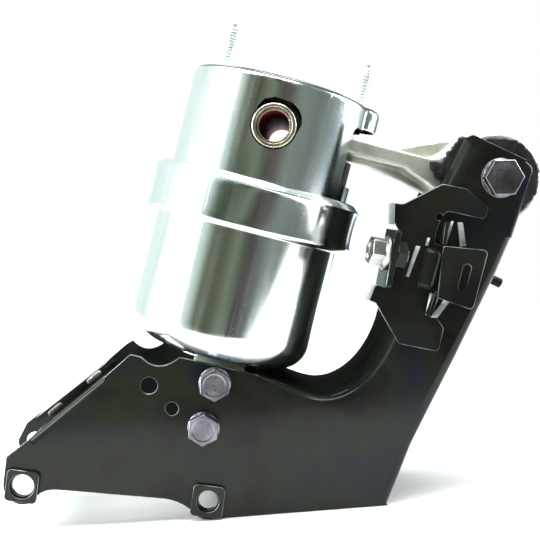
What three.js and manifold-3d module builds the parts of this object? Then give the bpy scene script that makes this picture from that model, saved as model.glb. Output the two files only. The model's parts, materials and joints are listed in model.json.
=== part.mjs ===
// Hydraulic reservoir mount: a fluid-filled steel can bolted to a pressed bracket, with a cast arm
// that swings on a rubber bushing and carries a cross sleeve inside the can.
// Millimetres, +Z up. The bracket's two plates face -Y (front) and +Y (rear) and stand on z = 0.
import * as THREE from 'three';
import { mergeVertices } from 'three/addons/utils/BufferGeometryUtils.js';
import Module from 'manifold-3d';

const wasm = await Module();
wasm.setup();

// ---- driving dimensions -------------------------------------------------------------------
const FIT = 0.3;                 // clearance between pieces that touch
const CENTRE_X = 39.75;          // middle of the whole object, measured from the right foot's hole
const SHEET = 3;                 // bracket sheet thickness
const HALF_WIDTH = 39;           // middle plane to the outer face of each bracket plate

const LEAN = THREE.MathUtils.degToRad(18.4);   // the can leans this far towards +X
const CAN_BASE = { x: 10.5, z: 89.4 };         // middle of the can's bottom face
const CAN_HEIGHT = 160;
const LOWER_R = 53.4;
const UPPER_R = 52.2;
const CAN_WALL = 2;
const BAND_R = 61.2;
const BAND_LOW = 74;             // height of the crimped band above the can's bottom face
const BAND_TOP = 103;
const SEAM = 88;                 // where the upper and lower shells' flanges meet
const FLANGE_R = 58;

const SLEEVE = { w: 132.8, u: 3.9, turn: THREE.MathUtils.degToRad(4.4), r: 12, bore: 8.8, length: 107 };
const STUD_R = 5;
const STUDS = { left: { u: -36.7, tip: 189.5 }, right: { u: 45, tip: 186 } };

const PIVOT = { x: 175.5, z: 179 };
const EYE_R = 25.5;
const SNUBBER_R = 23.5;
const LUG_BOLTS = [-12.2, -38];  // along the can's axis, below its bottom face
const LUG_U = 3.2;
const FOOT_LEFT = { x: -101.5, z: 27.5, hole: 6 };
const FOOT_RIGHT = { x: 0.8, z: 11, hole: 5.3 };
const FOOT_R = 11;
const ROUND = 40;                // segments round a large turned piece
const SMALL = 24;                // segments round a fastener

// ---- materials ----------------------------------------------------------------------------
const finish = (color, roughness, metalness) =>
  () => new THREE.MeshStandardMaterial({ color, roughness, metalness });
const zinc = finish(0xcfdbd6, 0.2, 1);
const eCoat = finish(0x101312, 0.25, 0.3);
const castAlloy = finish(0xa3a79c, 0.6, 0.8);
const rubber = finish(0x151515, 0.9, 0);
const boltSteel = finish(0x8b8d8b, 0.35, 1);
const yellowZinc = finish(0xb9a56d, 0.35, 0.9);
const redOxide = finish(0x6d2b26, 0.6, 0.2);
const bareSteel = finish(0xb4b8b6, 0.35, 1);
const blackZinc = finish(0x2a2a2a, 0.5, 0.6);

// ---- solids -------------------------------------------------------------------------------
// A merged, outward-facing copy of any closed three.js geometry.
function closed(geometry) {
  const bare = geometry.clone();
  bare.deleteAttribute('normal');
  bare.deleteAttribute('uv');
  const merged = mergeVertices(bare, 1e-4);
  const p = merged.attributes.position.array;
  const source = merged.index.array;
  const corner = (i) => new THREE.Vector3(p[3 * i], p[3 * i + 1], p[3 * i + 2]);
  const index = [];
  let volume = 0;
  for (let i = 0; i < source.length; i += 3) {
    const [a, b, c] = [source[i], source[i + 1], source[i + 2]];
    if (a === b || b === c || c === a) continue;
    index.push(a, b, c);
    volume += corner(a).dot(corner(b).cross(corner(c)));
  }
  if (volume < 0) index.reverse();
  merged.setIndex(index);
  return merged;
}

function toSolid(geometry) {
  const g = closed(geometry);
  const vertProperties = new Float32Array(g.attributes.position.array);
  const triVerts = new Uint32Array(g.index.array);
  return new wasm.Manifold(new wasm.Mesh({ numProp: 3, vertProperties, triVerts }));
}

function toGeometry(solid) {
  const mesh = solid.getMesh();
  const g = new THREE.BufferGeometry();
  g.setAttribute('position', new THREE.BufferAttribute(mesh.vertProperties, 3));
  g.setIndex(new THREE.BufferAttribute(mesh.triVerts, 1));
  return g;
}

const join = (...parts) => toGeometry(parts.map(toSolid).reduce((a, b) => a.add(b)));
const cut = (body, ...tools) => toGeometry(tools.map(toSolid).reduce((a, b) => a.subtract(b), toSolid(body)));

// A drum standing on z0 with its axis along +Z.
function drum(radius, z0, z1, sides = SMALL, topRadius = radius) {
  const g = new THREE.CylinderGeometry(topRadius, radius, z1 - z0, sides);
  return g.rotateX(Math.PI / 2).translate(0, 0, (z0 + z1) / 2);
}

// A drum with its axis along +Y through (x, z).
function crossDrum(radius, y0, y1, x = 0, z = 0, sides = SMALL) {
  return new THREE.CylinderGeometry(radius, radius, y1 - y0, sides).translate(x, (y0 + y1) / 2, z);
}

function block(x0, x1, y0, y1, z0, z1) {
  const g = new THREE.BoxGeometry(x1 - x0, y1 - y0, z1 - z0);
  return g.translate((x0 + x1) / 2, (y0 + y1) / 2, (z0 + z1) / 2);
}

// A flat outline in the X-Z plane, given thickness from y0 to y1.
function plate(shape, y0, y1, curveSegments = 8) {
  const g = new THREE.ExtrudeGeometry(shape, { depth: y1 - y0, bevelEnabled: false, curveSegments });
  return g.rotateX(Math.PI / 2).translate(0, y1, 0);
}

function polygon(points) {
  return new THREE.Shape(points.map(([x, z]) => new THREE.Vector2(x, z)));
}

// A turned piece: radius and height pairs, closed on themselves, about the Z axis.
function turned(profile, segments = ROUND) {
  const points = [...profile, profile[0]].map(([r, z]) => new THREE.Vector2(r, z));
  return closed(new THREE.LatheGeometry(points, segments).rotateX(Math.PI / 2));
}

// Points of a circular arc in a turned profile, from one angle to another in degrees.
function arc(cr, cz, radius, from, to, steps = 4) {
  return Array.from({ length: steps + 1 }, (_, i) => {
    const a = THREE.MathUtils.degToRad(from + ((to - from) * i) / steps);
    return [cr + radius * Math.cos(a), cz + radius * Math.sin(a)];
  });
}

// A strip of sheet that follows a run of points, thickened to the right of its direction.
function strip(points, thickness) {
  const offset = points.map(([x, z], i) => {
    const [x0, z0] = points[Math.max(i - 1, 0)];
    const [x1, z1] = points[Math.min(i + 1, points.length - 1)];
    const length = Math.hypot(x1 - x0, z1 - z0);
    return [x + (thickness * (z1 - z0)) / length, z - (thickness * (x1 - x0)) / length];
  });
  return polygon([...points, ...offset.reverse()]);
}

// ---- scene graph --------------------------------------------------------------------------
const assembly = new THREE.Group();
const bracket = new THREE.Group();
const can = new THREE.Group();
can.position.set(CAN_BASE.x, 0, CAN_BASE.z);
can.rotation.y = LEAN;
bracket.add(can);
assembly.add(bracket);
bracket.position.x = -CENTRE_X;

function piece(parent, name, geometry, material) {
  const mesh = new THREE.Mesh(geometry, material());
  mesh.name = name;
  parent.add(mesh);
  return mesh;
}

// The can's own axes: u across towards +X, w up the axis, as a point in the bracket's frame.
function fromCan(u, w) {
  const [s, c] = [Math.sin(LEAN), Math.cos(LEAN)];
  return { x: CAN_BASE.x + u * c + w * s, z: CAN_BASE.z - u * s + w * c };
}

// ---- bracket shells -----------------------------------------------------------------------
// The curve that cradles the can's lower right side and climbs the upright's inner edge.
const saddleCurve = [
  [[34, 79.5], [48, 73], [57, 66.5], [68, 64.3]],
  [[68, 64.3], [84, 62], [100, 75], [109, 96]],
].map((points) => new THREE.CubicBezierCurve(...points.map((p) => new THREE.Vector2(...p))));
const saddlePoints = [
  ...saddleCurve[0].getPoints(6).map((p) => [p.x, p.y]),
  ...saddleCurve[1].getPoints(8).slice(1).map((p) => [p.x, p.y]),
];
const UPRIGHT_LEFT = { wallTop: [133, 157], middle: [144, 178], top: [158.5, 202.5] };
const rightEdge = [[101.6, 0], [117.5, 33], [146, 81.5], [171, 126], [180.5, 145]];
const UPRIGHT_TOP = [[195.5, 183], [191, 188], [162, 204]];
const PLATE_EDGE = [...rightEdge.slice(1), ...UPRIGHT_TOP, UPRIGHT_LEFT.top, UPRIGHT_LEFT.middle];

// Outline of one bracket plate; the rear plate's foot and notch sit further left than the front's.
function plateOutline(foot, slopeFoot, slopeTop, notch) {
  const s = new THREE.Shape();
  s.moveTo(...rightEdge[0]);
  for (const p of PLATE_EDGE) s.lineTo(...p);
  for (const p of [...saddlePoints].reverse()) s.lineTo(...p);
  s.lineTo(16.6, 85);
  s.lineTo(notch + 11, 92.6);
  s.bezierCurveTo(notch + 4, 87.5, notch - 4, 86.5, notch - 10, 94.5);
  s.lineTo(...slopeTop);
  s.lineTo(...slopeFoot);
  s.absarc(foot.x, foot.z, FOOT_R, Math.PI * 0.95, Math.PI * 1.62, false);
  s.quadraticCurveTo(-88, 24.5, -80, 23);
  s.lineTo(-23, 13.6);
  s.quadraticCurveTo(-14, 11, -9.5, 6.5);
  s.absarc(FOOT_RIGHT.x, FOOT_RIGHT.z, FOOT_R, Math.PI * 1.2, Math.PI * 1.5, false);
  return s;
}

const REAR_FOOT = { x: -110.5, z: 35, hole: FOOT_LEFT.hole };
const frontOutline = plateOutline(FOOT_LEFT, [-109.3, 44.2], [-36, 96.3], -20);
const rearOutline = plateOutline(REAR_FOOT, [-115, 47], [-48, 92.6], -34);

const lugBolt = LUG_BOLTS.map((w) => fromCan(LUG_U, w));
const LIP_Y = 29.5;              // the upright's top left lip ends here, clear of the arm
const BOLT_HOLE = 5 + FIT;
const PIVOT_HOLE = 6 + FIT;
const plateHoles = [[-27, 78.2, 4.7], [-15.4, 64.2, 3.7]];
const SIDE_STUD = { r: 3, length: 17, turn: 0.5, x: 175.24, z: 120.87 };
const STUD_HOLE = { length: 12, x: 168.5, z: 124.55 };   // on the side stud's axis

// A rod square to the upright's right wall, pointing down to the right.
const slantedRod = (r, length) =>
  new THREE.CylinderGeometry(r, r, length, 16).rotateZ(Math.PI / 2).rotateY(SIDE_STUD.turn);

// One pressed half-shell: its plate, and the walls folded in to the middle plane.
function halfShell(outline, foot, side, extraHoles) {
  const [outer, inner, middle] = [side * HALF_WIDTH, side * (HALF_WIDTH - SHEET), side * FIT / 2];
  const span = (a, b) => [Math.min(a, b), Math.max(a, b)];
  const wall = (points) => plate(strip(points, SHEET), ...span(inner + side * 0.5, middle));
  const sheet = plate(outline, ...span(outer, inner), 6);
  const slopeStart = side < 0 ? [-96, 52.9] : [-101, 56.5];
  const slopeEnd = side < 0 ? [-52, 84.2] : [-57, 86];
  const lipLine = [UPRIGHT_LEFT.wallTop, UPRIGHT_LEFT.middle, UPRIGHT_LEFT.top];
  const lip = plate(strip(lipLine, SHEET), ...span(inner + side * 0.5, side * LIP_Y));
  const walls = [
    lip,
    wall([...saddlePoints, UPRIGHT_LEFT.wallTop]),
    wall([...rightEdge].reverse()),
    wall([slopeStart, slopeEnd]),
  ];
  const holes = [
    [foot.x, foot.z, foot.hole], [FOOT_RIGHT.x, FOOT_RIGHT.z, FOOT_RIGHT.hole],
    [PIVOT.x, PIVOT.z, PIVOT_HOLE], ...lugBolt.map((p) => [p.x, p.z, BOLT_HOLE]), ...extraHoles,
  ];
  const drills = holes.map(([x, z, r]) => crossDrum(r, ...span(outer + side, inner - side), x, z, 20));
  const studHole = slantedRod(SIDE_STUD.r + FIT, STUD_HOLE.length).translate(STUD_HOLE.x, 0, STUD_HOLE.z);
  return cut(join(sheet, ...walls), ...drills, studHole);
}

piece(bracket, 'bracket_front_shell', halfShell(frontOutline, FOOT_LEFT, -1, plateHoles), eCoat);
piece(bracket, 'bracket_rear_shell', halfShell(rearOutline, REAR_FOOT, 1, []), eCoat);

// Reinforcing pads on the front feet: rounded squares, pierced for the mounting bolts.
const PAD = 2.4;
function footPad(foot, half, tilt) {
  const s = new THREE.Shape();
  const r = 3;
  s.moveTo(-half + r, -half);
  s.lineTo(half - r, -half);
  s.quadraticCurveTo(half, -half, half, -half + r);
  s.lineTo(half, half);
  s.lineTo(-half + r, half);
  s.quadraticCurveTo(-half, half, -half, half - r);
  s.lineTo(-half, -half + r);
  s.quadraticCurveTo(-half, -half, -half + r, -half);
  s.closePath();
  const front = -HALF_WIDTH - FIT;
  const pad = cut(plate(s, -PAD, 0, 3), crossDrum(foot.hole + 0.9, -PAD - 1, 1, 0, 0, 20));
  return pad.rotateY(tilt).translate(foot.x, front, foot.z);
}
piece(bracket, 'foot_pad_left', footPad(FOOT_LEFT, 9, 0.22), eCoat);
piece(bracket, 'foot_pad_right', footPad(FOOT_RIGHT, 9, 0.22), eCoat);

// Weld beads that close the overlapped flange on the sloping edge.
const slopeAngle = Math.atan2(31.3, 44);
function weldBead(along) {
  const bead = new THREE.CapsuleGeometry(2, 7, 3, 8).rotateZ(Math.PI / 2).translate(along, -2.5, 2.4);
  return closed(bead).rotateY(-slopeAngle).translate(-96, 0, 52.9);
}
piece(bracket, 'weld_upper', weldBead(42), bareSteel);
piece(bracket, 'weld_lower', weldBead(12), bareSteel);

// ---- fasteners ----------------------------------------------------------------------------
const hexRadius = (acrossFlats) => acrossFlats / Math.sqrt(3);

// A flanged hex bolt along +Y: its head is at the -Y end and its seat is at y = 0.
function hexBolt(shankR, length, acrossFlats, head, flangeR) {
  const hex = new THREE.CylinderGeometry(hexRadius(acrossFlats), hexRadius(acrossFlats), head, 6);
  const flange = crossDrum(flangeR, -2, 0);
  const shank = crossDrum(shankR, -1, length, 0, 0, 20);
  return join(hex.translate(0, -head / 2, 0), flange, shank);
}
function hexNut(boreR, acrossFlats, height, flangeR) {
  const hex = new THREE.CylinderGeometry(hexRadius(acrossFlats), hexRadius(acrossFlats), height, 6);
  const solid = join(hex.translate(0, height / 2, 0), crossDrum(flangeR, 0, 2));
  return cut(solid, crossDrum(boreR, -1, height + 1));
}
const FACE = HALF_WIDTH + FIT;
lugBolt.forEach((p, i) => {
  const name = ['upper', 'lower'][i];
  piece(bracket, `lug_bolt_${name}`, hexBolt(5, 2 * FACE + 11, 16, 7.5, 9).translate(p.x, -FACE, p.z), boltSteel);
  piece(bracket, `lug_nut_${name}`, hexNut(5 + FIT, 16, 9, 10).translate(p.x, FACE, p.z), boltSteel);
});
const WASHER = 2.2;
const washer = cut(crossDrum(11, -WASHER, 0, 0, 0, 28), crossDrum(PIVOT_HOLE, -WASHER - 1, 1));
const PIVOT_SEAT = FACE + WASHER + FIT;
piece(bracket, 'pivot_washer', washer.translate(PIVOT.x, -FACE, PIVOT.z), boltSteel);
piece(bracket, 'pivot_bolt',
  hexBolt(6, PIVOT_SEAT + FACE + 13, 19, 8, 10.4).translate(PIVOT.x, -PIVOT_SEAT, PIVOT.z), boltSteel);
piece(bracket, 'pivot_nut', hexNut(6 + FIT, 19, 10.8, 11.5).translate(PIVOT.x, FACE, PIVOT.z), boltSteel);

// ---- can: shells and band -----------------------------------------------------------------
const CORNER = 18;
const inner = LOWER_R - CAN_WALL;
piece(can, 'can_lower_shell', turned([
  [0, 0], ...arc(LOWER_R - CORNER, CORNER, CORNER, -90, 0, 5), [LOWER_R, BAND_LOW + 1],
  [FLANGE_R, BAND_LOW + 6], [FLANGE_R, SEAM - FIT], [inner, SEAM - FIT],
  ...arc(inner + CAN_WALL - CORNER, CORNER, CORNER - CAN_WALL, 0, -90, 5), [0, CAN_WALL],
]), zinc);

const TOP_CORNER = 7;
const upperProfile = (grow) => [
  [0, CAN_HEIGHT - grow], ...arc(UPPER_R - TOP_CORNER, CAN_HEIGHT - TOP_CORNER, TOP_CORNER - grow, 90, 0, 4),
];
const EAR = { r: 14, low: 147 };
const shellBody = turned([
  ...upperProfile(0), [UPPER_R, BAND_TOP - 2], [FLANGE_R, BAND_TOP - 7], [FLANGE_R, SEAM],
  [UPPER_R - CAN_WALL, SEAM], ...upperProfile(CAN_WALL).reverse(),
]);
const ear = drum(EAR.r, EAR.low, CAN_HEIGHT).translate(STUDS.right.u, 0, 0);
const earHollow = drum(EAR.r - CAN_WALL, EAR.low - 1, CAN_HEIGHT - CAN_WALL).translate(STUDS.right.u, 0, 0);
const WINDOW = { low: 112, high: 146, half: 28 };
const windowTool = block(34, 70, -WINDOW.half, WINDOW.half, WINDOW.low, WINDOW.high);
// Rounded clearance opening for the cross sleeve, through both walls.
const OPENING_R = 12.8;
const openingShape = polygon([
  ...arc(0, 0, OPENING_R, 150, 352.5, 9), [14.2, 4], [13.4, 8], [11.1, 11.4], [6.8, 14.2], [-3, 15],
  [-8.4, 12.6],
]);
const openingTool = plate(openingShape, -70, 70).rotateZ(-SLEEVE.turn).translate(SLEEVE.u, 0, SLEEVE.w);
const studHoles = Object.values(STUDS).map(({ u }) =>
  drum(STUD_R + FIT, CAN_HEIGHT - 6, CAN_HEIGHT + 4).translate(u, 0, 0));
piece(can, 'can_upper_shell', cut(
  join(shellBody, cut(ear, drum(UPPER_R - CAN_WALL / 2, 100, CAN_HEIGHT - CAN_WALL, ROUND))),
  earHollow, windowTool, openingTool, ...studHoles), zinc);

const bandInner = FLANGE_R + FIT;
piece(can, 'crimp_band', turned([
  [LOWER_R + FIT, BAND_LOW], [BAND_R - 4, BAND_LOW], ...arc(BAND_R - 4, BAND_LOW + 4, 4, -60, 0, 3),
  ...arc(BAND_R - 4, BAND_TOP - 4, 4, 0, 90, 4), [UPPER_R + FIT + 0.2, BAND_TOP],
  [UPPER_R + FIT + 0.2, BAND_TOP - 1.4], [bandInner, BAND_TOP - 6.4], [bandInner, BAND_LOW + 5.4],
  [LOWER_R + FIT + 0.2, BAND_LOW + 0.6],
]), zinc);

// Studs with a shoulder inside the top and a dog point.
for (const [side, { u, tip }] of Object.entries(STUDS)) {
  const low = CAN_HEIGHT - CAN_WALL - FIT;
  const shaft = join(drum(8, low - 3, low), drum(STUD_R, low - 1, tip - 4));
  const g = join(shaft, drum(STUD_R, tip - 4.01, tip - 2.5, SMALL, 3.4), drum(3.4, tip - 2.51, tip));
  piece(can, `stud_${side}`, g.translate(u, 0, 0), zinc);
}

// Lug under the can: a ribbed block between the bracket plates, drilled for two cross bolts.
const LUG_HALF = HALF_WIDTH - SHEET - FIT;
const lugBody = block(LUG_U - 15, LUG_U + 15, -LUG_HALF, LUG_HALF, LUG_BOLTS[1] - 13, -3 - FIT);
const ribGaps = [-24, -8, 8, 24].map((y) => block(LUG_U - 20, LUG_U + 20, y - 5, y + 5, -5, 0));
const lugDrills = LUG_BOLTS.map((w) => crossDrum(BOLT_HOLE, -60, 60, LUG_U, w, 20));
piece(can, 'lower_lug', cut(lugBody, ...ribGaps, ...lugDrills), castAlloy);
piece(can, 'lug_base_plate', drum(24, -3, -FIT, 28), bareSteel);

// ---- inside the can -----------------------------------------------------------------------
const bore = UPPER_R - CAN_WALL - FIT;
const TRACK = { low: 72, mid: 78, high: 86 };
const trackCavity = { r: 22, low: 75.4, high: 81.6 };
piece(can, 'track_plate_lower', turned([
  [0, TRACK.low], [bore, TRACK.low], [bore, TRACK.mid], [trackCavity.r, TRACK.mid],
  [trackCavity.r, trackCavity.low], [0, trackCavity.low],
], 32), castAlloy);
piece(can, 'track_plate_upper', turned([
  [0, trackCavity.high], [trackCavity.r, trackCavity.high], [trackCavity.r, TRACK.mid + FIT],
  [bore, TRACK.mid + FIT], [bore, TRACK.high], [0, TRACK.high],
], 32), castAlloy);
piece(can, 'decoupler_disc', drum(trackCavity.r - 1, 76.6, 80.4, 28), rubber);
piece(can, 'bellows_diaphragm', turned([
  [0, 44], [20, 42], [34, 46], [40, 62], [bore, 66], [bore, TRACK.low - FIT], [44, TRACK.low - FIT],
  [38, 66], [31, 49], [19, 45], [0, 47],
], 32), rubber);
// The rubber spring, with a skirt that rises behind the arm's window.
const SKIRT = { inner: 46.8, low: SEAM + 11, top: 126, from: 34 };
const springSide = [
  [24, 97], [34, 99], [bore, SEAM + 1], [bore, SEAM + 12], [46, SEAM + 16], [24, 114],
];
const spring = turned(springSide, 32);
const skirtSide = [
  [SKIRT.inner, SKIRT.low], [bore, SKIRT.low], [bore, SKIRT.top], [SKIRT.inner, SKIRT.top],
];
const skirt = cut(turned(skirtSide, 32), block(-60, SKIRT.from, -60, 60, 90, 140));
piece(can, 'main_rubber_spring', join(spring, skirt), rubber);
const padTop = CAN_HEIGHT - CAN_WALL - FIT;
piece(can, 'travel_stop_pad', drum(18, padTop - 4, padTop, 28), rubber);

// ---- arm, sleeve and bushing (these swing together about the pivot) -----------------------
const coreSide = [[0, 95], [18, 95], [23.7, 97], [23.7, 114], [14, 116.5], [0, 116.5]];
piece(can, 'inner_core', turned(coreSide, 28), castAlloy);
const sleevePlace = (g) => g.rotateZ(-SLEEVE.turn).translate(SLEEVE.u, 0, SLEEVE.w);
const half = SLEEVE.length / 2;
const tube = (outer, hole, reach) =>
  cut(crossDrum(outer, -reach, reach, 0, 0, 32), crossDrum(hole, -60, 60, 0, 0, 32));
piece(can, 'cross_sleeve', sleevePlace(tube(SLEEVE.r, SLEEVE.bore + 1, half)), yellowZinc);
piece(can, 'sleeve_liner', sleevePlace(tube(SLEEVE.bore + 1 - FIT, SLEEVE.bore - 0.6, half - 1)), redOxide);

// The arm in the can's axes: u runs from the sleeve to the eye, w is up the can's axis.
const [leanSin, leanCos] = [Math.sin(LEAN), Math.cos(LEAN)];
const eye = {
  u: (PIVOT.x - CAN_BASE.x) * leanCos - (PIVOT.z - CAN_BASE.z) * leanSin,
  w: (PIVOT.x - CAN_BASE.x) * leanSin + (PIVOT.z - CAN_BASE.z) * leanCos,
};
const ARM_HEAD_R = 16;
const EYE_HALF = 29;
const head = sleevePlace(crossDrum(ARM_HEAD_R, -34, 34, 0, 0, 28));
const neck = block(SLEEVE.u - 14, SLEEVE.u + 14, -22, 22, 117, 130);
// A flat flange runs the arm's whole length, and an upright web deepens towards the eye.
const FLANGE = { low: 131.2, high: 139.4, half: 25 };
const armFlange = block(SLEEVE.u, eye.u, -FLANGE.half, FLANGE.half, FLANGE.low, FLANGE.high);
const webSide = polygon([[SLEEVE.u, FLANGE.low - 3], [58, FLANGE.low - 3], [eye.u - 16, eye.w - EYE_R + 5],
  [eye.u, eye.w - EYE_R + 2], [eye.u, eye.w + EYE_R - 2], [eye.u - 18, eye.w + EYE_R - 4], [66, FLANGE.high + 1],
  [SLEEVE.u, FLANGE.high + 1]]);
const web = plate(webSide, -6, 6);
const eyeDrum = crossDrum(EYE_R, -EYE_HALF, EYE_HALF, eye.u, eye.w, 36);
const BUSH_R = 18;
piece(can, 'arm_casting', cut(join(head, neck, armFlange, web, eyeDrum),
  crossDrum(BUSH_R + FIT, -60, 60, eye.u, eye.w, 32),
  sleevePlace(crossDrum(SLEEVE.r + FIT, -80, 80, 0, 0, 32))), castAlloy);

const INNER_HALF = HALF_WIDTH - SHEET - FIT;
const ringAt = (outer, hole, reach, sides) =>
  cut(crossDrum(outer, -reach, reach, PIVOT.x, PIVOT.z, sides), crossDrum(hole, -60, 60, PIVOT.x, PIVOT.z, sides));
piece(bracket, 'pivot_inner_sleeve', ringAt(9.5, PIVOT_HOLE, INNER_HALF, 28), bareSteel);
piece(bracket, 'pivot_bushing', ringAt(BUSH_R - FIT, 9.5 + FIT, EYE_HALF, 28), rubber);
// Ragged snubber rings on both faces of the eye.
const SNUBBER_HOLE = 12;
for (const [name, side] of [['front', -1], ['rear', 1]]) {
  const [y0, y1] = side < 0 ? [-INNER_HALF + 0.4, -EYE_HALF - FIT] : [EYE_HALF + FIT, INNER_HALF - 0.4];
  const disc = crossDrum(SNUBBER_R, y0, y1, PIVOT.x, PIVOT.z, 28);
  const ring = cut(disc, crossDrum(SNUBBER_HOLE, y0 - 1, y1 + 1, PIVOT.x, PIVOT.z, 24));
  piece(bracket, `eye_snubber_${name}`, ring, rubber);
}

// ---- auxiliary bracket on the upright -----------------------------------------------------
const AUX = 2.5;
const auxBack = -FACE;
const auxOutline = polygon([
  [113, 170], [120.5, 168.5], [143, 178], [156, 174.5], [167.5, 164], [166, 156.5], [144, 163],
  [139, 155], [136, 146], [143, 143], [139.5, 120], [133, 108], [138.7, 98.4], [134.9, 85.3],
  [113, 91.5], [101.9, 115], [97, 117.5], [102, 124.5], [112, 128], [118, 152], [115.5, 158],
]);
piece(bracket, 'aux_plate',
  cut(plate(auxOutline, auxBack - AUX, auxBack), crossDrum(1.9, -60, -30, 140, 160, 16)), eCoat);

// Tab folded towards the front, nearly square to the plate, along a line that climbs to the right.
const TAB_SWING = THREE.MathUtils.degToRad(9);
const TAB = { low: [103.8, 125], high: [111.8, 155.5], reach: 18.6, half: 1.7 };
const tabAngle = Math.atan2(TAB.high[0] - TAB.low[0], TAB.high[1] - TAB.low[1]);
const tabMiddle = [(TAB.low[0] + TAB.high[0]) / 2, (TAB.low[1] + TAB.high[1]) / 2];
const tabLength = Math.hypot(TAB.high[0] - TAB.low[0], TAB.high[1] - TAB.low[1]);
const auxFront = auxBack - AUX - FIT;
const onTab = (g) =>
  g.rotateZ(TAB_SWING).rotateY(tabAngle).translate(tabMiddle[0], auxFront - FIT, tabMiddle[1]);
const CLIP = { r: 4, y: -9.7, z: 2.5, flats: 14, head: 9.5, nut: 6.2, flange: 9.2 };
const clipSeat = TAB.half + FIT;
const alongTab = (r, x0, x1, sides = SMALL) =>
  new THREE.CylinderGeometry(r, r, x1 - x0, sides).rotateZ(-Math.PI / 2)
    .translate((x0 + x1) / 2, CLIP.y, CLIP.z);
const clipHex = (x0, x1) => alongTab(hexRadius(CLIP.flats), x0, x1, 6);
const tabBlock = block(-TAB.half, TAB.half, -TAB.reach, 0, -tabLength / 2, tabLength / 2);
piece(bracket, 'forward_tab', onTab(cut(tabBlock, alongTab(CLIP.r + FIT, -5, 5, 20))), eCoat);
piece(bracket, 'clip_bolt', onTab(join(
  clipHex(-clipSeat - CLIP.head, -clipSeat), alongTab(CLIP.flange, -clipSeat - 1.6, -clipSeat),
  alongTab(CLIP.r, -clipSeat - 1, clipSeat + CLIP.nut + 1.5, 20))), boltSteel);
piece(bracket, 'clip_nut', onTab(cut(
  clipHex(clipSeat, clipSeat + CLIP.nut), alongTab(CLIP.r + FIT, 0, clipSeat + CLIP.nut + 2, 20))), eCoat);

// Half-round channel pressed in a strap beside the tab.
const CHANNEL = { x: 128.5, z: 121, length: 23.3, lean: Math.atan2(9, 26) };
const halfRound = new THREE.Shape();
halfRound.absarc(0, 0, 5, -Math.PI / 2, Math.PI / 2, false);
halfRound.closePath();
const channelShape = { depth: CHANNEL.length, bevelEnabled: false, curveSegments: 6 };
const channelBar = new THREE.ExtrudeGeometry(halfRound, channelShape);
channelBar.rotateZ(-Math.PI / 2).rotateY(CHANNEL.lean).translate(CHANNEL.x, auxFront, CHANNEL.z);
piece(bracket, 'half_round_strap', closed(channelBar), eCoat);

// Slotted tab that stands forward of the plate on two folded gussets.
const SLOT_FACE = auxFront - 8;
const slotTab = polygon([[139, 144.5], [163.5, 140.3], [153, 108.3], [134, 116.5]]);
const slotRun = strip([[151.6, 133.4], [147, 119.4]], 4.4);
piece(bracket, 'slotted_tab', cut(plate(slotTab, SLOT_FACE - AUX, SLOT_FACE), plate(slotRun, -70, -30)), eCoat);
const gusset = (points) => plate(strip(points, 2.4), SLOT_FACE + FIT, auxFront);
piece(bracket, 'gusset_upper', gusset([[144, 157], [141.5, 145]]), eCoat);
piece(bracket, 'gusset_lower', gusset([[136, 119], [131, 106]]), eCoat);
const sideStud = slantedRod(SIDE_STUD.r, SIDE_STUD.length).translate(SIDE_STUD.x, 0, SIDE_STUD.z);
piece(bracket, 'side_stud', closed(sideStud), blackZinc);

export default assembly;
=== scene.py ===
# %% [markdown]
# A hydraulic reservoir: a zinc-plated can of fluid, bolted in a black pressed bracket, with a cast arm
# that pivots on a rubber bushing and reaches into the can. The CAD model already holds every size and
# joint. Here each piece that shows gets the fine surface that the real one has.
# %% Load the frame
import json
import math
import random
import bpy
import bmesh
from mathutils import Matrix, Vector, noise
from mathutils.geometry import tessellate_polygon


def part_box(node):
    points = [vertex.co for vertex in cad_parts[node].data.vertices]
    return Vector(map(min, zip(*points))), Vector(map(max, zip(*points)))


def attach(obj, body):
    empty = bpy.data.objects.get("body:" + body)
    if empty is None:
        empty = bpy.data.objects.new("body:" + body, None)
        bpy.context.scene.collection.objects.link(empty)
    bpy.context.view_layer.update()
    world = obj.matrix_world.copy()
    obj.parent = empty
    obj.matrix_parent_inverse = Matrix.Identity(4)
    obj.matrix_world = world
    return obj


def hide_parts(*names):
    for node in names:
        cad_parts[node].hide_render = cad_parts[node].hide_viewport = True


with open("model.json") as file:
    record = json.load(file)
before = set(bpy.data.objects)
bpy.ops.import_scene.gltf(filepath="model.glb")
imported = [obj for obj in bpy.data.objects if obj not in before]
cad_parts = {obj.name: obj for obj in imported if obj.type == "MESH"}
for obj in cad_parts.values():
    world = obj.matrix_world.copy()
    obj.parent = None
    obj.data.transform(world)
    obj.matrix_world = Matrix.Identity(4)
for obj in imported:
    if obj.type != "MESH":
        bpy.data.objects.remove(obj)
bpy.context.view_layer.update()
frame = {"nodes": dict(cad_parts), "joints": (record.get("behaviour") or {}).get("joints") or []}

NODES = frame["nodes"]
MM = 0.001
random.seed(7)

# %% [markdown]
# Two places tie everything together: the pivot bolt, which is the arm's hinge, and the can's axis, which
# the decoupler disc slides along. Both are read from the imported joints, so the scene follows the CAD.
# Places on the bracket are given as across, deep and up from the right foot's hole, in millimetres.
# %% Datum places
JOINTS = {j["name"]: j for j in frame["joints"]}
PIVOT = Vector(JOINTS["arm_swing"]["pos_m"])
AXIS = Vector(JOINTS["decoupler_float"]["axis"]).normalized()
LEAN = math.atan2(AXIS.x, AXIS.z)
PIVOT_ACROSS = 175.5
DISC_HEIGHT = 78.5
FOOT_X = PIVOT.x - PIVOT_ACROSS * MM


def middle(node):
    low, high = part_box(node)
    return (Vector(low) + Vector(high)) / 2


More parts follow.
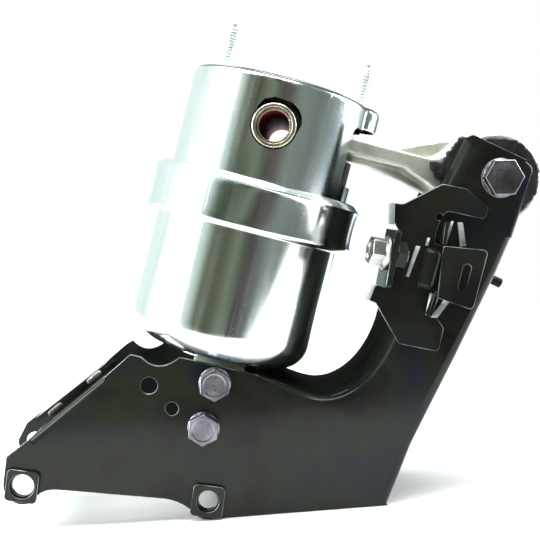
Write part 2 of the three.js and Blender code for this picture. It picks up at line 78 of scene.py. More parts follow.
BRACKET = Matrix.Translation((FOOT_X, 0, 0)) @ Matrix.Scale(MM, 4)
CAN_BASE = middle("decoupler_disc") - AXIS * DISC_HEIGHT * MM
CAN = Matrix.Translation(CAN_BASE) @ Matrix.Rotation(LEAN, 4, "Y") @ Matrix.Scale(MM, 4)
print("can leans", round(math.degrees(LEAN), 2), "degrees; base", [round(v, 4) for v in CAN_BASE])

# %% [markdown]
# The camera stands level with the middle of the object and looks almost straight at the front plate. It
# is rolled a little, which leans the upright plates in the frame.
# %% Camera
CAMERA_AIM = Vector((0.0051, -0.039, 0.1375))
CAMERA_AWAY = 0.523
CAMERA_TURN = math.radians(0.96)
CAMERA_DOWN = math.radians(3.53)
CAMERA_ROLL = math.radians(4.14)
CAMERA_LENS = 63


def make_camera():
    cos_down = math.cos(CAMERA_DOWN)
    across, deep = math.sin(CAMERA_TURN) * cos_down, math.cos(CAMERA_TURN) * cos_down
    ahead = Vector((across, deep, -math.sin(CAMERA_DOWN)))
    level = ahead.cross(Vector((0, 0, 1))).normalized()
    upright = level.cross(ahead)
    right = level * math.cos(CAMERA_ROLL) - upright * math.sin(CAMERA_ROLL)
    up = upright * math.cos(CAMERA_ROLL) + level * math.sin(CAMERA_ROLL)
    place = CAMERA_AIM - ahead * CAMERA_AWAY
    data = bpy.data.cameras.new("camera")
    data.lens = CAMERA_LENS
    camera = bpy.data.objects.new("camera", data)
    camera.matrix_world = Matrix((right, up, -ahead)).transposed().to_4x4()
    camera.location = place
    bpy.context.scene.collection.objects.link(camera)
    bpy.context.scene.camera = camera
    return place


print("camera at", [round(v, 3) for v in make_camera()])

# %% [markdown]
# A mesh starts as lists of points and faces. One helper turns them into a piece, so that every piece is
# placed, merged, shaded and handed to the frame in the same way. Edges sharper than an angle stay crisp,
# and the rest shade smoothly.
# %% Making a piece
MATERIALS = {}


def in_scene(name, mesh):
    made = bpy.data.objects.new(name, mesh)
    bpy.context.scene.collection.objects.link(made)
    return made


def shade(mesh, crisp):
    """Smooth shading, with the edges sharper than an angle kept crisp."""
    for face in mesh.polygons:
        face.use_smooth = True
    mesh.set_sharp_from_angle(angle=math.radians(crisp))


def to_object(name, points, faces, place=None, crisp=35, fix_normals=True):
    mesh = bpy.data.meshes.new(name)
    mesh.from_pydata([tuple(p) for p in points], [], faces)
    bm = bmesh.new()
    bm.from_mesh(mesh)
    bmesh.ops.remove_doubles(bm, verts=bm.verts, dist=1e-5)
    bmesh.ops.dissolve_degenerate(bm, edges=bm.edges, dist=1e-6)
    if fix_normals:
        bmesh.ops.recalc_face_normals(bm, faces=bm.faces)
    bm.to_mesh(mesh)
    bm.free()
    if place is not None:
        mesh.transform(place)
    shade(mesh, crisp)
    return in_scene(name, mesh)


def finish_piece(made, slot, *nodes, body="root"):
    made.data.materials.clear()
    made.data.materials.append(MATERIALS[slot])
    # marked edge faces take the grey edge finish: part paint rubbed off, part painted highlight
    wear_and_highlight = made.data.attributes.get("wear_and_highlight")
    if wear_and_highlight:
        made.data.materials.append(MATERIALS["edge_wear_and_highlight"])
        for face, mark in zip(made.data.polygons, wear_and_highlight.data):
            face.material_index = int(mark.value)
        made.data.attributes.remove(wear_and_highlight)
    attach(made, body)
    if nodes:
        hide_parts(*nodes)
    print(made.name, len(made.data.polygons), "faces")
    return made


def baked(made, name=None):
    """The object with its modifiers applied, as a plain mesh."""
    graph = bpy.context.evaluated_depsgraph_get()
    mesh = bpy.data.meshes.new_from_object(made.evaluated_get(graph))
    made.modifiers.clear()
    made.data = mesh
    if name:
        made.name = name
    return made


def joined(name, objects, crisp=35):
    """Several loose meshes as one piece."""
    bm = bmesh.new()
    for part in objects:
        bm.from_mesh(part.data)
        bpy.data.objects.remove(part)
    mesh = bpy.data.meshes.new(name)
    bm.to_mesh(mesh)
    bm.free()
    shade(mesh, crisp)
    return in_scene(name, mesh)


def boolean(made, tool, operation="DIFFERENCE"):
    step = made.modifiers.new(operation, "BOOLEAN")
    step.operation = operation
    step.solver = "EXACT"
    step.object = tool
    baked(made)
    bpy.data.objects.remove(tool)
    return made


def soften(made, width, sharper_than=50):
    """Bevels the edges sharper than an angle in degrees, by a width in millimetres."""
    edge = made.modifiers.new("edge", "BEVEL")
    edge.width = width * MM
    edge.segments = 2
    edge.limit_method = "ANGLE"
    edge.angle_limit = math.radians(sharper_than)
    return baked(made)


# %% [markdown]
# Outlines are short lists of corners. A fillet swaps each corner for an arc that touches both sides, so
# pressed and turned shapes get their round corners from one number.
# %% Outline helpers
def fillet(corners, radius, steps=5, closed=True):
    """Corners are (x, y) or (x, y, own radius)."""
    out = []
    count = len(corners)
    for i, corner in enumerate(corners):
        here = Vector(corner[:2])
        r = corner[2] if len(corner) > 2 else radius
        if r <= 0 or (not closed and i in (0, count - 1)):
            out.append(tuple(here))
            continue
        a = Vector(corners[i - 1][:2]) - here
        b = Vector(corners[(i + 1) % count][:2]) - here
        half = a.angle(b) / 2
        if half > math.radians(89):
            out.append(tuple(here))
            continue
        reach = min(r / math.tan(half), a.length * 0.49, b.length * 0.49)
        start, end = here + a.normalized() * reach, here + b.normalized() * reach
        centre = here + (a.normalized() + b.normalized()).normalized() * (reach / math.cos(half))
        v0, v1 = start - centre, end - centre
        turn = v0.angle_signed(v1)
        for k in range(steps + 1):
            out.append(tuple(centre + Matrix.Rotation(-turn * k / steps, 2) @ v0))
    return out


def bezier(p0, p1, p2, p3, steps=12):
    out = []
    for k in range(steps + 1):
        t = k / steps
        weights = ((1 - t) ** 3, 3 * t * (1 - t) ** 2, 3 * t * t * (1 - t), t ** 3)
        out.append(tuple(sum(w * p[i] for w, p in zip(weights, (p0, p1, p2, p3))) for i in (0, 1)))
    return out


def arc(centre, radius, start, end, steps=14):
    angles = [math.radians(start + (end - start) * k / steps) for k in range(steps + 1)]
    return [(centre[0] + radius * math.cos(a), centre[1] + radius * math.sin(a)) for a in angles]


def straight(a, b, steps):
    return [(a[0] + (b[0] - a[0]) * k / steps, a[1] + (b[1] - a[1]) * k / steps) for k in range(steps + 1)]


def circle(x, y, r, steps=32):
    turns = [math.tau * k / steps for k in range(steps)]
    return [(x + r * math.cos(a), y + r * math.sin(a)) for a in turns]


def turned(name, profile, place, segments=144, crisp=30):
    """A closed profile of (radius, height) spun about the local Z axis."""
    points, faces = [], []
    n = len(profile)
    for s in range(segments):
        a = math.tau * s / segments
        points += [(r * math.cos(a), r * math.sin(a), h) for r, h in profile]
    for s in range(segments):
        t = (s + 1) % segments
        for i in range(n):
            j = (i + 1) % n
            faces.append((s * n + i, t * n + i, t * n + j, s * n + j))
    return to_object(name, points, faces, place, crisp)


print("helpers ready")

# %% [markdown]
# Each finish is a Principled shader with its own noise for colour, roughness and bump. The noise reads
# Object coordinates, which are real metres here, so its scale is the real scale of the grain.
# %% Finish helper
class Finish:
    """A material under construction, with short names for the nodes that every finish uses."""

    def __init__(self, name, base, metallic, roughness):
        self.material = bpy.data.materials.new(name)
        self.material.use_nodes = True
        self.nodes = self.material.node_tree.nodes
        self.links = self.material.node_tree.links
        self.shader = self.nodes["Principled BSDF"]
        self.shader.inputs["Base Color"].default_value = (*base, 1)
        self.shader.inputs["Metallic"].default_value = metallic
        self.shader.inputs["Roughness"].default_value = roughness
        self.place = self.nodes.new("ShaderNodeTexCoord").outputs["Object"]
        MATERIALS[name] = self.material

    def noise(self, scale, detail=3, stretch=(1, 1, 1), turn=0.0, rough=0.5):
        mapping = self.nodes.new("ShaderNodeMapping")
        mapping.inputs["Rotation"].default_value = (0, turn, 0)
        self.links.new(self.place, mapping.inputs["Vector"])
        squeeze = self.nodes.new("ShaderNodeMapping")
        squeeze.inputs["Scale"].default_value = stretch
        self.links.new(mapping.outputs["Vector"], squeeze.inputs["Vector"])
        noise = self.nodes.new("ShaderNodeTexNoise")
        noise.inputs["Scale"].default_value = scale
        noise.inputs["Detail"].default_value = detail
        noise.inputs["Roughness"].default_value = rough
        self.links.new(squeeze.outputs["Vector"], noise.inputs["Vector"])
        return noise.outputs["Fac"]

    def spread(self, value, low, high, start=0.3, end=0.7):
        ranged = self.nodes.new("ShaderNodeMapRange")
        for label, number in (("From Min", start), ("From Max", end), ("To Min", low), ("To Max", high)):
            ranged.inputs[label].default_value = number
        self.links.new(value, ranged.inputs["Value"])
        return ranged.outputs["Result"]

    def colours(self, value, *stops):
        ramp = self.nodes.new("ShaderNodeValToRGB")
        while len(ramp.color_ramp.elements) < len(stops):
            ramp.color_ramp.elements.new(0.5)
        for element, (at, colour) in zip(ramp.color_ramp.elements, stops):
            element.position = at
            element.color = (*colour, 1)
        self.links.new(value, ramp.inputs["Fac"])
        return ramp.outputs["Color"]

    def set(self, socket, value):
        self.links.new(value, self.shader.inputs[socket])

    def bump(self, *layers):
        """Each layer is a height and its depth in metres."""
        normal = None
        for height, depth in layers:
            bump = self.nodes.new("ShaderNodeBump")
            bump.inputs["Strength"].default_value = 1
            bump.inputs["Distance"].default_value = depth
            self.links.new(height, bump.inputs["Height"])
            if normal:
                self.links.new(normal, bump.inputs["Normal"])
            normal = bump.outputs["Normal"]
        self.set("Normal", normal)


# %% [markdown]
# Zinc plate over a deep-drawn shell keeps the fine lines that the die leaves along the can, and the clear
# passivation tints it green and blue in soft patches. The lines are noise stretched along the can's axis.
# %% Zinc plate
def zinc_plate():
    f = Finish("zinc_plate", (0.78, 0.84, 0.82), 1.0, 0.16)
    fine = f.noise(1500, 2, (1, 1, 0.012), -LEAN)
    streak = f.noise(170, 3, (1, 1, 0.05), -LEAN)
    patch = f.noise(28, 3, (1, 1, 0.35), -LEAN)
    green, plain, blue = (0.66, 0.78, 0.74), (0.84, 0.88, 0.86), (0.70, 0.80, 0.84)
    f.set("Base Color", f.colours(patch, (0.3, green), (0.5, plain), (0.7, blue)))
    scratch = f.noise(260, 1, (1, 1, 0.02), -LEAN)
    line = f.spread(f.spread(scratch, 1, 0, 0.66, 0.665), 0, 1, 0, 1)
    speck = f.spread(f.noise(900, 2), 0, 1, 0.66, 0.74)
    f.set("Roughness", f.spread(streak, 0.10, 0.24))
    f.bump((fine, 0.0000025), (streak, 0.000010), (patch, 0.00006), (line, 0.000015), (speck, 0.00002))


zinc_plate()

# %% [markdown]
# Most other finishes differ only in their colours and how rough they are, so one function mixes them from
# two colours in soft patches, with a fine grain on top.
# %% Two-tone finish
def plain_metal(name, low, high, rough_low, rough_high, metallic=1.0, grain_scale=600, depth=0.00002):
    f = Finish(name, high, metallic, rough_high)
    grain = f.noise(grain_scale, 4, rough=0.6)
    patch = f.noise(90, 3)
    f.set("Base Color", f.colours(patch, (0.35, low), (0.65, high)))
    f.set("Roughness", f.spread(grain, rough_low, rough_high))
    f.bump((grain, depth))


print("finishes so far:", sorted(MATERIALS))

# %% [markdown]
# The bracket is electro-coated black: a thin, even, glossy paint with a slight orange peel. It looks
# black; soft olive and blue patches in its colour are painted reflection of the room, and dust dulls it in
# places. Its cut edges are grey, part paint rubbed off and part painted highlight, and some left-facing
# folds are coloured bright steel as a painted highlight.
# %% Black e-coat
def black_e_coat(name="black_e_coat", rough=(0.10, 0.2), specular=0.2):
    f = Finish(name, (0.02, 0.022, 0.022), 0.0, 0.2)
    patch = f.noise(22, 4)
    peel = f.noise(1100, 2)
    dust = f.noise(420, 5, rough=0.7)
    # olive and slate patches in the colour are painted reflection of the room on the black paint
    olive, slate = (0.019, 0.022, 0.014), (0.013, 0.017, 0.024)
    f.set("Base Color", f.colours(patch, (0.35, (0.010, 0.011, 0.011)), (0.5, olive), (0.66, slate)))
    f.set("Roughness", f.spread(dust, *rough))
    f.shader.inputs["Specular IOR Level"].default_value = specular
    f.bump((peel, 0.000003), (patch, 0.00004))


black_e_coat()
# a rougher copy with no reflection: painted shade for the walls under the can
black_e_coat("painted_shade_e_coat", (0.6, 0.8), 0.0)
# grey for the cut edges: part paint rubbed off, part painted highlight
plain_metal("edge_wear_and_highlight", (0.02, 0.021, 0.021), (0.34, 0.36, 0.36), 0.3, 0.5)
# bright steel for the left-facing fold faces: painted highlight
plain_metal("fold_painted_highlight", (0.55, 0.58, 0.60), (0.85, 0.88, 0.90), 0.3, 0.45, 0.6)
print("e-coat, worn and bright edges ready")

# %% [markdown]
# The arm and the lug are sand or die castings: matt, pale grey-green, with a fine grain and soft darker
# stains. Rubber is nearly black and scuffed paler where it was trimmed.
# %% Castings and rubber
def cast_alloy():
    f = Finish("cast_alloy", (0.5, 0.51, 0.46), 0.75, 0.5)
    grain = f.noise(900, 4, rough=0.65)
    stain = f.noise(60, 4)
    dark, mid, pale = (0.50, 0.50, 0.43), (0.70, 0.74, 0.65), (0.80, 0.84, 0.76)
    f.set("Base Color", f.colours(stain, (0.3, dark), (0.5, mid), (0.7, pale)))
    f.set("Roughness", f.spread(grain, 0.42, 0.62))
    f.bump((grain, 0.00006), (stain, 0.0001))


def rubber():
    f = Finish("rubber", (0.012, 0.012, 0.012), 0.0, 0.62)
    grain = f.noise(700, 5, rough=0.7)
    scuff = f.noise(120, 4)
    f.set("Base Color", f.colours(scuff, (0.4, (0.008, 0.008, 0.009)), (0.7, (0.035, 0.036, 0.034))))
    f.set("Roughness", f.spread(grain, 0.4, 0.75))
    f.bump((grain, 0.0001), (scuff, 0.0005))


cast_alloy()
rubber()
print("castings and rubber ready")

# %% [markdown]
# Fasteners are grey steel with a satin skin from tumbling. The sleeve's end shows yellow passivation, its
# liner is red-brown primer, and the weld metal is coarse and burnt at its edges.
# %% Fastener, sleeve and weld finishes
plain_metal("bolt_steel", (0.17, 0.165, 0.185), (0.33, 0.32, 0.36), 0.24, 0.42)
plain_metal("bare_steel", (0.42, 0.43, 0.42), (0.6, 0.6, 0.58), 0.25, 0.4)
plain_metal("yellow_zinc", (0.50, 0.46, 0.34), (0.84, 0.82, 0.70), 0.22, 0.38)
plain_metal("red_oxide", (0.22, 0.03, 0.035), (0.42, 0.07, 0.075), 0.6, 0.75, 0.0)
plain_metal("black_stud", (0.012, 0.012, 0.013), (0.03, 0.03, 0.032), 0.25, 0.4, 0.6)
plain_metal("weld_metal", (0.05, 0.05, 0.045), (0.28, 0.28, 0.27), 0.3, 0.55, 1.0, 900, 0.00012)
plain_metal("stud_zinc", (0.62, 0.72, 0.66), (0.84, 0.90, 0.86), 0.5, 0.65)
# a dark finish for the insides of the can and the ear's hollow: painted shade
plain_metal("inside_painted_shade", (0.02, 0.02, 0.022), (0.07, 0.07, 0.075), 0.4, 0.6, 0.7)
print("finishes:", sorted(MATERIALS))

# %% [markdown]
# The lower shell is a drawn cup: straight sides, a large bottom radius, and a flange that the band grips.
# It is turned about the can's axis from one closed profile.
# %% Lower shell
LOWER_R, UPPER_R, BAND_R, FLANGE_R = 53.4, 52.2, 61.2, 58
WALL = 2
BAND_LOW, BAND_TOP, SEAM, CAN_TOP = 74, 103, 88, 160

rim = SEAM - 0.3
cup = [(0, 0), (LOWER_R, 0, 18), (LOWER_R, BAND_LOW + 1, 3)]
lower_outside = fillet(cup + [(FLANGE_R, BAND_LOW + 6, 3), (FLANGE_R, rim, 0)], 0, 14, False)
lower_inside = fillet([(LOWER_R - WALL, rim, 0), (LOWER_R - WALL, WALL, 16), (0, WALL)], 0, 10, False)
lower_shell = turned("can_lower_skin", lower_outside + lower_inside, CAN)
finish_piece(lower_shell, "zinc_plate", "can_lower_shell")

# %% [markdown]
# The crimped band is rolled over both flanges. Rolling leaves its lips round and its face very slightly
# waisted, so the profile is a wide shallow curve between two rolls rather than a straight wall.
# %% Crimped band
face_low, face_high = (BAND_R - 0.5, BAND_LOW + 5), (BAND_R - 0.5, BAND_TOP - 5)
band_face = bezier(face_low, (BAND_R - 1.1, BAND_LOW + 11), (BAND_R - 1.1, BAND_TOP - 11), face_high, 8)
low_roll = [
    (LOWER_R + 0.3, BAND_LOW + 0.6, 0), (LOWER_R + 1.4, BAND_LOW, 0.6),
    (BAND_R - 2.6, BAND_LOW, 3), (BAND_R, BAND_LOW + 2.9, 3.4),
]
high_roll = [
    (BAND_R, BAND_TOP - 4, 4.2), (BAND_R - 4, BAND_TOP, 4.2),
    (UPPER_R + 1.6, BAND_TOP, 0.8), (UPPER_R + 0.3, BAND_TOP - 1, 0),
]
groove = [
    (UPPER_R + 0.5, BAND_TOP - 2.6, 0), (FLANGE_R + 0.3, BAND_TOP - 6.4, 0),
    (FLANGE_R + 0.3, BAND_LOW + 5.4, 0),
]
band_outside = fillet(low_roll + [(*p, 0) for p in band_face] + high_roll + groove, 0, 6)
band = turned("crimp_band_skin", band_outside, CAN, 160, 40)
finish_piece(band, "zinc_plate", "crimp_band")

# %% [markdown]
# The upper shell is drawn too, then pierced. A boolean cuts the arm's window and the sleeve's clearance
# opening through a turned shell, which is how the press does it. A lobe at the right holds a stud.
# %% Upper shell
STUD_U = {"left": -36.7, "right": 45.0}
EAR_R, EAR_LOW = 14, 147
SLEEVE_U, SLEEVE_W, SLEEVE_TURN = 3.9, 132.8, math.radians(4.4)
SLEEVE_PLACE = Matrix.Translation((SLEEVE_U, 0, SLEEVE_W)) @ Matrix.Rotation(-SLEEVE_TURN, 4, "Z")
OPENING_R = 12.8
OPENING_TOP = [(14.2, 4), (13.4, 8), (11.1, 11.4), (6.8, 14.2), (-3, 15), (-8.4, 12.6), (-11, 8)]
WINDOW_LOW, WINDOW_HIGH, WINDOW_HALF = 112, 146, 28


def prism(name, outline, low, high, place):
    """A closed outline in the local X-Z plane, from one depth to another along Y."""
    n = len(outline)
    points = [(x, low, z) for x, z in outline] + [(x, high, z) for x, z in outline]
    faces = [tuple(range(n)), tuple(range(2 * n - 1, n - 1, -1))]
    faces += [(i, i + n, (i + 1) % n + n, (i + 1) % n) for i in range(n)]
    return to_object(name, points, faces, place)


def upper_shell():
    drawn = [(0, CAN_TOP), (UPPER_R, CAN_TOP, 4.5), (UPPER_R, BAND_TOP - 2, 2)]
    outside = fillet(drawn + [(FLANGE_R, BAND_TOP - 7, 0), (FLANGE_R, SEAM, 0)], 0, 10, False)
    bore, roof = UPPER_R - WALL, CAN_TOP - WALL
    inside = fillet([(bore, SEAM, 0), (bore, roof, 3), (0, roof)], 0, 8, False)
    shell = turned("can_upper_skin", outside + inside, CAN, 160)
    at_ear = CAN @ Matrix.Translation((STUD_U["right"], 0, 0))
    ear = fillet([(0, EAR_LOW), (EAR_R, EAR_LOW, 0.8), (EAR_R, CAN_TOP, 4), (0, CAN_TOP)], 0, 6, False)
    boolean(shell, turned("ear", ear, at_ear, 64), "UNION")
    ear_bore, floor_w = EAR_R - WALL, EAR_LOW - 7
    hollow = fillet([(0, floor_w), (ear_bore, floor_w, 0), (ear_bore, roof, 2), (0, roof)], 0, 4, False)
    boolean(shell, turned("hollow", hollow, at_ear, 48))
    lower_rim = arc((0, 0), OPENING_R, 150, 352.5, 27)
    opening = lower_rim + fillet(OPENING_TOP, 1.5, 4, False)
    boolean(shell, prism("opening", opening, -70, 70, CAN @ SLEEVE_PLACE))
    left, right = -WINDOW_HALF, WINDOW_HALF
    corners = [(left, WINDOW_LOW), (right, WINDOW_LOW), (right, WINDOW_HIGH), (left, WINDOW_HIGH)]
    at_window = CAN @ Matrix.Translation((70, 0, 0)) @ Matrix.Rotation(math.pi / 2, 4, "Z")
    boolean(shell, prism("window", fillet(corners, 5, 6), -36, 36, at_window))
    soften(shell, 0.35)
    shade(shell.data, 30)
    return shell


def darken_inside(shell):
    """Faces that look into the can and into the ear's hollow take a dark, dull finish as painted shade."""
    shell.data.materials.append(MATERIALS["inside_painted_shade"])
    to_can = CAN.inverted()
    for face in shell.data.polygons:
        spot = to_can @ face.center
        from_axis = math.hypot(spot.x, spot.y)
        from_ear = math.hypot(spot.x - STUD_U["right"], spot.y)
        in_body = from_axis < UPPER_R - 0.7 and from_ear > EAR_R - 0.7
        in_ear = from_ear < EAR_R - 0.7
        if spot.z < CAN_TOP - 0.7 and (in_body or in_ear):
            face.material_index = 1


top = finish_piece(upper_shell(), "zinc_plate", "can_upper_shell")
darken_inside(top)

# %% [markdown]
# Threads repeat, so a Geometry Nodes tree makes them. It takes a plain cylinder and moves each point in
# towards the axis by a triangle wave of its height and angle, which is exactly what a helix is.
# %% Thread tree
THREAD_INPUTS = {
    "Radius": "Float", "Length": "Float", "Pitch": "Float", "Depth": "Float", "Rings": "Int",
    "Finish": "Material",
}


def thread_tree():
    tree = bpy.data.node_groups.new("threaded_shank", "GeometryNodeTree")
    face = tree.interface
    sockets = {}
    for label, kind in THREAD_INPUTS.items():
        socket = face.new_socket(name=label, in_out="INPUT", socket_type=f"NodeSocket{kind}")
        sockets[label] = socket.identifier
    face.new_socket(name="Geometry", in_out="OUTPUT", socket_type="NodeSocketGeometry")
    new, link = tree.nodes.new, tree.links.new
    given = new("NodeGroupInput").outputs

    def maths(operation, a, b=None):
        node = new("ShaderNodeMath")
        node.operation = operation
        for socket, value in zip(node.inputs, (a, b)):
            if isinstance(value, (int, float)):
                socket.default_value = value
            elif value is not None:
                link(value, socket)
        return node.outputs[0]

    rod = new("GeometryNodeMeshCylinder")
    rod.inputs["Vertices"].default_value = 40
    link(given["Rings"], rod.inputs["Side Segments"])
    link(given["Radius"], rod.inputs["Radius"])
    link(given["Length"], rod.inputs["Depth"])
    where = new("ShaderNodeSeparateXYZ")
    link(new("GeometryNodeInputPosition").outputs[0], where.inputs[0])
    x, y, z = where.outputs
    turn = maths("DIVIDE", maths("ARCTAN2", y, x), math.tau)
    phase = maths("SUBTRACT", maths("DIVIDE", z, given["Pitch"]), turn)
    wave = maths("MULTIPLY", maths("PINGPONG", phase, 0.5), 2)
    inward = maths("DIVIDE", maths("MULTIPLY", maths("MULTIPLY", wave, given["Depth"]), -1), given["Radius"])
    offset = new("ShaderNodeCombineXYZ")
    link(maths("MULTIPLY", x, inward), offset.inputs[0])
    link(maths("MULTIPLY", y, inward), offset.inputs[1])
    move = new("GeometryNodeSetPosition")
    link(rod.outputs["Mesh"], move.inputs["Geometry"])
    link(offset.outputs[0], move.inputs["Offset"])
    real = new("GeometryNodeRealizeInstances")
    link(move.outputs[0], real.inputs[0])
    paint = new("GeometryNodeSetMaterial")
    link(real.outputs[0], paint.inputs["Geometry"])
    link(given["Finish"], paint.inputs["Material"])
    link(paint.outputs[0], new("NodeGroupOutput").inputs[0])
    return tree, sockets


THREAD_TREE, THREAD_SOCKETS = thread_tree()
RINGS_PER_TURN = 8
THREAD_DEPTH = 0.4


def thread(name, radius, length, pitch, finish, place):
    """A threaded shank along local Z, centred, in millimetres before the place is applied."""
    holder = in_scene(name, bpy.data.meshes.new(name))
    nodes = holder.modifiers.new("thread", "NODES")
    rings = int(RINGS_PER_TURN * length / pitch)
    depth = THREAD_DEPTH * pitch * MM
    values = (radius * MM, length * MM, pitch * MM, depth, rings, MATERIALS[finish])
    nodes.node_group = THREAD_TREE
    for label, value in zip(THREAD_INPUTS, values):
        nodes[THREAD_SOCKETS[label]] = value
    baked(holder)
    holder.data.transform(place @ Matrix.Scale(1 / MM, 4))
    return holder


print("thread tree has", len(THREAD_TREE.nodes), "nodes")

# %% [markdown]
# Each stud has a plain shoulder at its root, a rolled thread, and a turned-down dog point that helps it
# find its hole. The root and point are turned, the thread comes from the tree, and all three are joined.
# %% Studs
STUD_TIPS = {"left": 189.5, "right": 186.0}
STUD_PITCH = 1.75
for side, tip in STUD_TIPS.items():
    place = CAN @ Matrix.Translation((STUD_U[side], 0, 0))
    head = [(0, CAN_TOP - 3.5), (7.4, CAN_TOP - 3.5, 0), (7.4, CAN_TOP - 2.3, 0), (4.6, CAN_TOP - 2.3, 0)]
    collar = [(4.6, CAN_TOP + 1, 0), (5.6, CAN_TOP + 1, 0.3), (5.6, CAN_TOP + 2.2, 0.4)]
    neck = [(4.9, CAN_TOP + 2.8, 0), (0, CAN_TOP + 2.8)]
    root = turned("root", fillet(head + collar + neck, 0, 3, False), place, 40)
    start, end = CAN_TOP + 2.6, tip - 4.2
    at_thread = place @ Matrix.Translation((0, 0, (start + end) / 2))
    helix = thread("helix", 5, end - start, STUD_PITCH, "stud_zinc", at_thread)
    lead_in = [(0, end - 0.2), (4.4, end - 0.2, 0), (4.7, end + 0.1, 0.2)]
    dog = [(3.3, tip - 2.6, 0.3), (3.3, tip, 0.5), (0, tip)]
    point = turned("point", fillet(lead_in + dog, 0, 3, False), place, 40)
    stud = finish_piece(joined(f"stud_{side}_skin", [root, helix, point]), "zinc_plate", f"stud_{side}")
    stud.data.materials[0] = MATERIALS["stud_zinc"]
print("studs ready, pitch", STUD_PITCH)

# %% [markdown]
# The bracket is two pressed half-shells welded back to back. A pressing is a flat sheet whose rim is
# either cut or folded into a wall, so one helper makes every sheet piece: it runs a small profile round
# each outline, a rounded edge where the sheet is cut and a bend with a wall where it is folded, and then
# fills the two flat faces between the outlines. A run is (points, bend radius), or (points, bend radius,
# depth where its wall ends). A radius of 0 is a cut edge, and one under the sheet's thickness rounds it.
# %% Rim of a pressed sheet
BEND_STEPS = 7
SAME = 1e-4    # points closer than this, in millimetres, count as one


def rim_profile(bend, outer, inner, middle):
    """Pairs of inset from the outline and depth, from the outer face to the inner face."""
    side = 1 if inner > outer else -1
    thick = abs(inner - outer)
    turns = [math.pi / 2 * k / BEND_STEPS for k in range(BEND_STEPS + 1)]
    if bend > thick:
        inside = max(bend - thick, 0.3)
        out = [(bend * (1 - math.sin(a)), outer + side * bend * (1 - math.cos(a))) for a in turns]
        out += [(0, middle), (thick, middle)]
        for a in reversed(turns):
            out.append((bend - inside * math.sin(a), outer + side * (bend - inside * math.cos(a))))
        return out
    edge = min(0.5, thick * 0.3)
    front_edge = bend or edge
    turns = [math.pi / 2 * k / (BEND_STEPS + 1) for k in range(BEND_STEPS + 2)]
    out = [(front_edge * (1 - math.sin(a)), outer + side * front_edge * (1 - math.cos(a))) for a in turns]
    out += [(edge * (1 - math.sin(a)), inner - side * edge * (1 - math.cos(a))) for a in reversed(turns)]
    return out


def inward_normals(loop):
    """For each point, the direction to its left, lengthened at corners. Doubled points share one."""
    out = []
    n = len(loop)
    spots = [Vector(point) for point in loop]
    for i, here in enumerate(spots):
        before = next(spots[i - k] for k in range(1, n) if (spots[i - k] - here).length > SAME)
        after = next(spots[(i + k) % n] for k in range(1, n) if (spots[(i + k) % n] - here).length > SAME)
        a = (here - before).normalized()
        b = (after - here).normalized()
        na, nb = Vector((-a.y, a.x)), Vector((-b.y, b.x))
        total = (na + nb).normalized()
        out.append(total / max(total.dot(nb), 0.6))
    return out


print("a bend of 6 mm has", len(rim_profile(6, -39, -36, 0)), "points round it")

# %% [markdown]
# The sheet itself joins those profiles up. The rounded faces of cut edges on the outer side are marked, and
# finish_piece colours them grey steel: part paint rubbed thin, part painted highlight for the light they
# catch.
# %% Whole sheet
EDGE_MARK_DEPTH, EDGE_MARK_SLOPE = 0.42, 0.93


def pressed(name, runs, holes, outer, inner, middle=0.0, place=BRACKET):
    """Runs go round the outline anticlockwise, seen from the front; holes are clockwise outlines."""
    rims = [[(point, run[1], run[2] if len(run) > 2 else middle) for run in runs for point in run[0]]]
    rims += [[(point, 0, middle) for point in hole] for hole in holes]
    points, faces, outer_loops, inner_loops = [], [], [], []
    for rim in rims:
        start = len(points)
        normals = inward_normals([point for point, _, _ in rim])
        profiles = [rim_profile(bend, outer, inner, wall_end) for _, bend, wall_end in rim]
        n, m = len(rim), len(profiles[0])
        for (point, _, _), normal, profile in zip(rim, normals, profiles):
            for inset, depth in profile:
                points.append((point[0] + normal.x * inset, depth, point[1] + normal.y * inset))
        for i in range(n):
            a, b = start + i * m, start + (i + 1) % n * m
            faces += [(a + k, a + k + 1, b + k + 1, b + k) for k in range(m - 1)]
        outer_loops.append([start + i * m for i in range(n)])
        inner_loops.append([start + i * m + m - 1 for i in range(n)])
    for loops in (outer_loops, inner_loops):
        flat = [index for loop in loops for index in loop]
        outlines = [[Vector((points[i][0], points[i][2], 0)) for i in loop] for loop in loops]
        faces += [tuple(flat[i] for i in triangle) for triangle in tessellate_polygon(outlines)]
    made = to_object(name, points, faces, place, 40)
    step = made.modifiers.new("even_shading", "WEIGHTED_NORMAL")
    step.keep_sharp = True
    return mark_wear_and_highlight(baked(made), outer, place)


def mark_wear_and_highlight(made, outer, place):
    """Marks the rounded faces of cut edges on the outer side, which are coloured grey as part wear and part
    painted highlight.
    """
    back = place.inverted()
    wear_and_highlight = made.data.attributes.new("wear_and_highlight", "BOOLEAN", "FACE")
    for face, mark in zip(made.data.polygons, wear_and_highlight.data):
        depth = abs((back @ face.center).y - outer)
        mark.value = depth < EDGE_MARK_DEPTH and abs((back.to_3x3() @ face.normal).normalized().y) < EDGE_MARK_SLOPE
    return made


def hole(x, z, radius, steps=40):
    return circle(x, z, radius, steps)[::-1]


print("a hole's outline has", len(hole(0, 0, 5)), "corners")

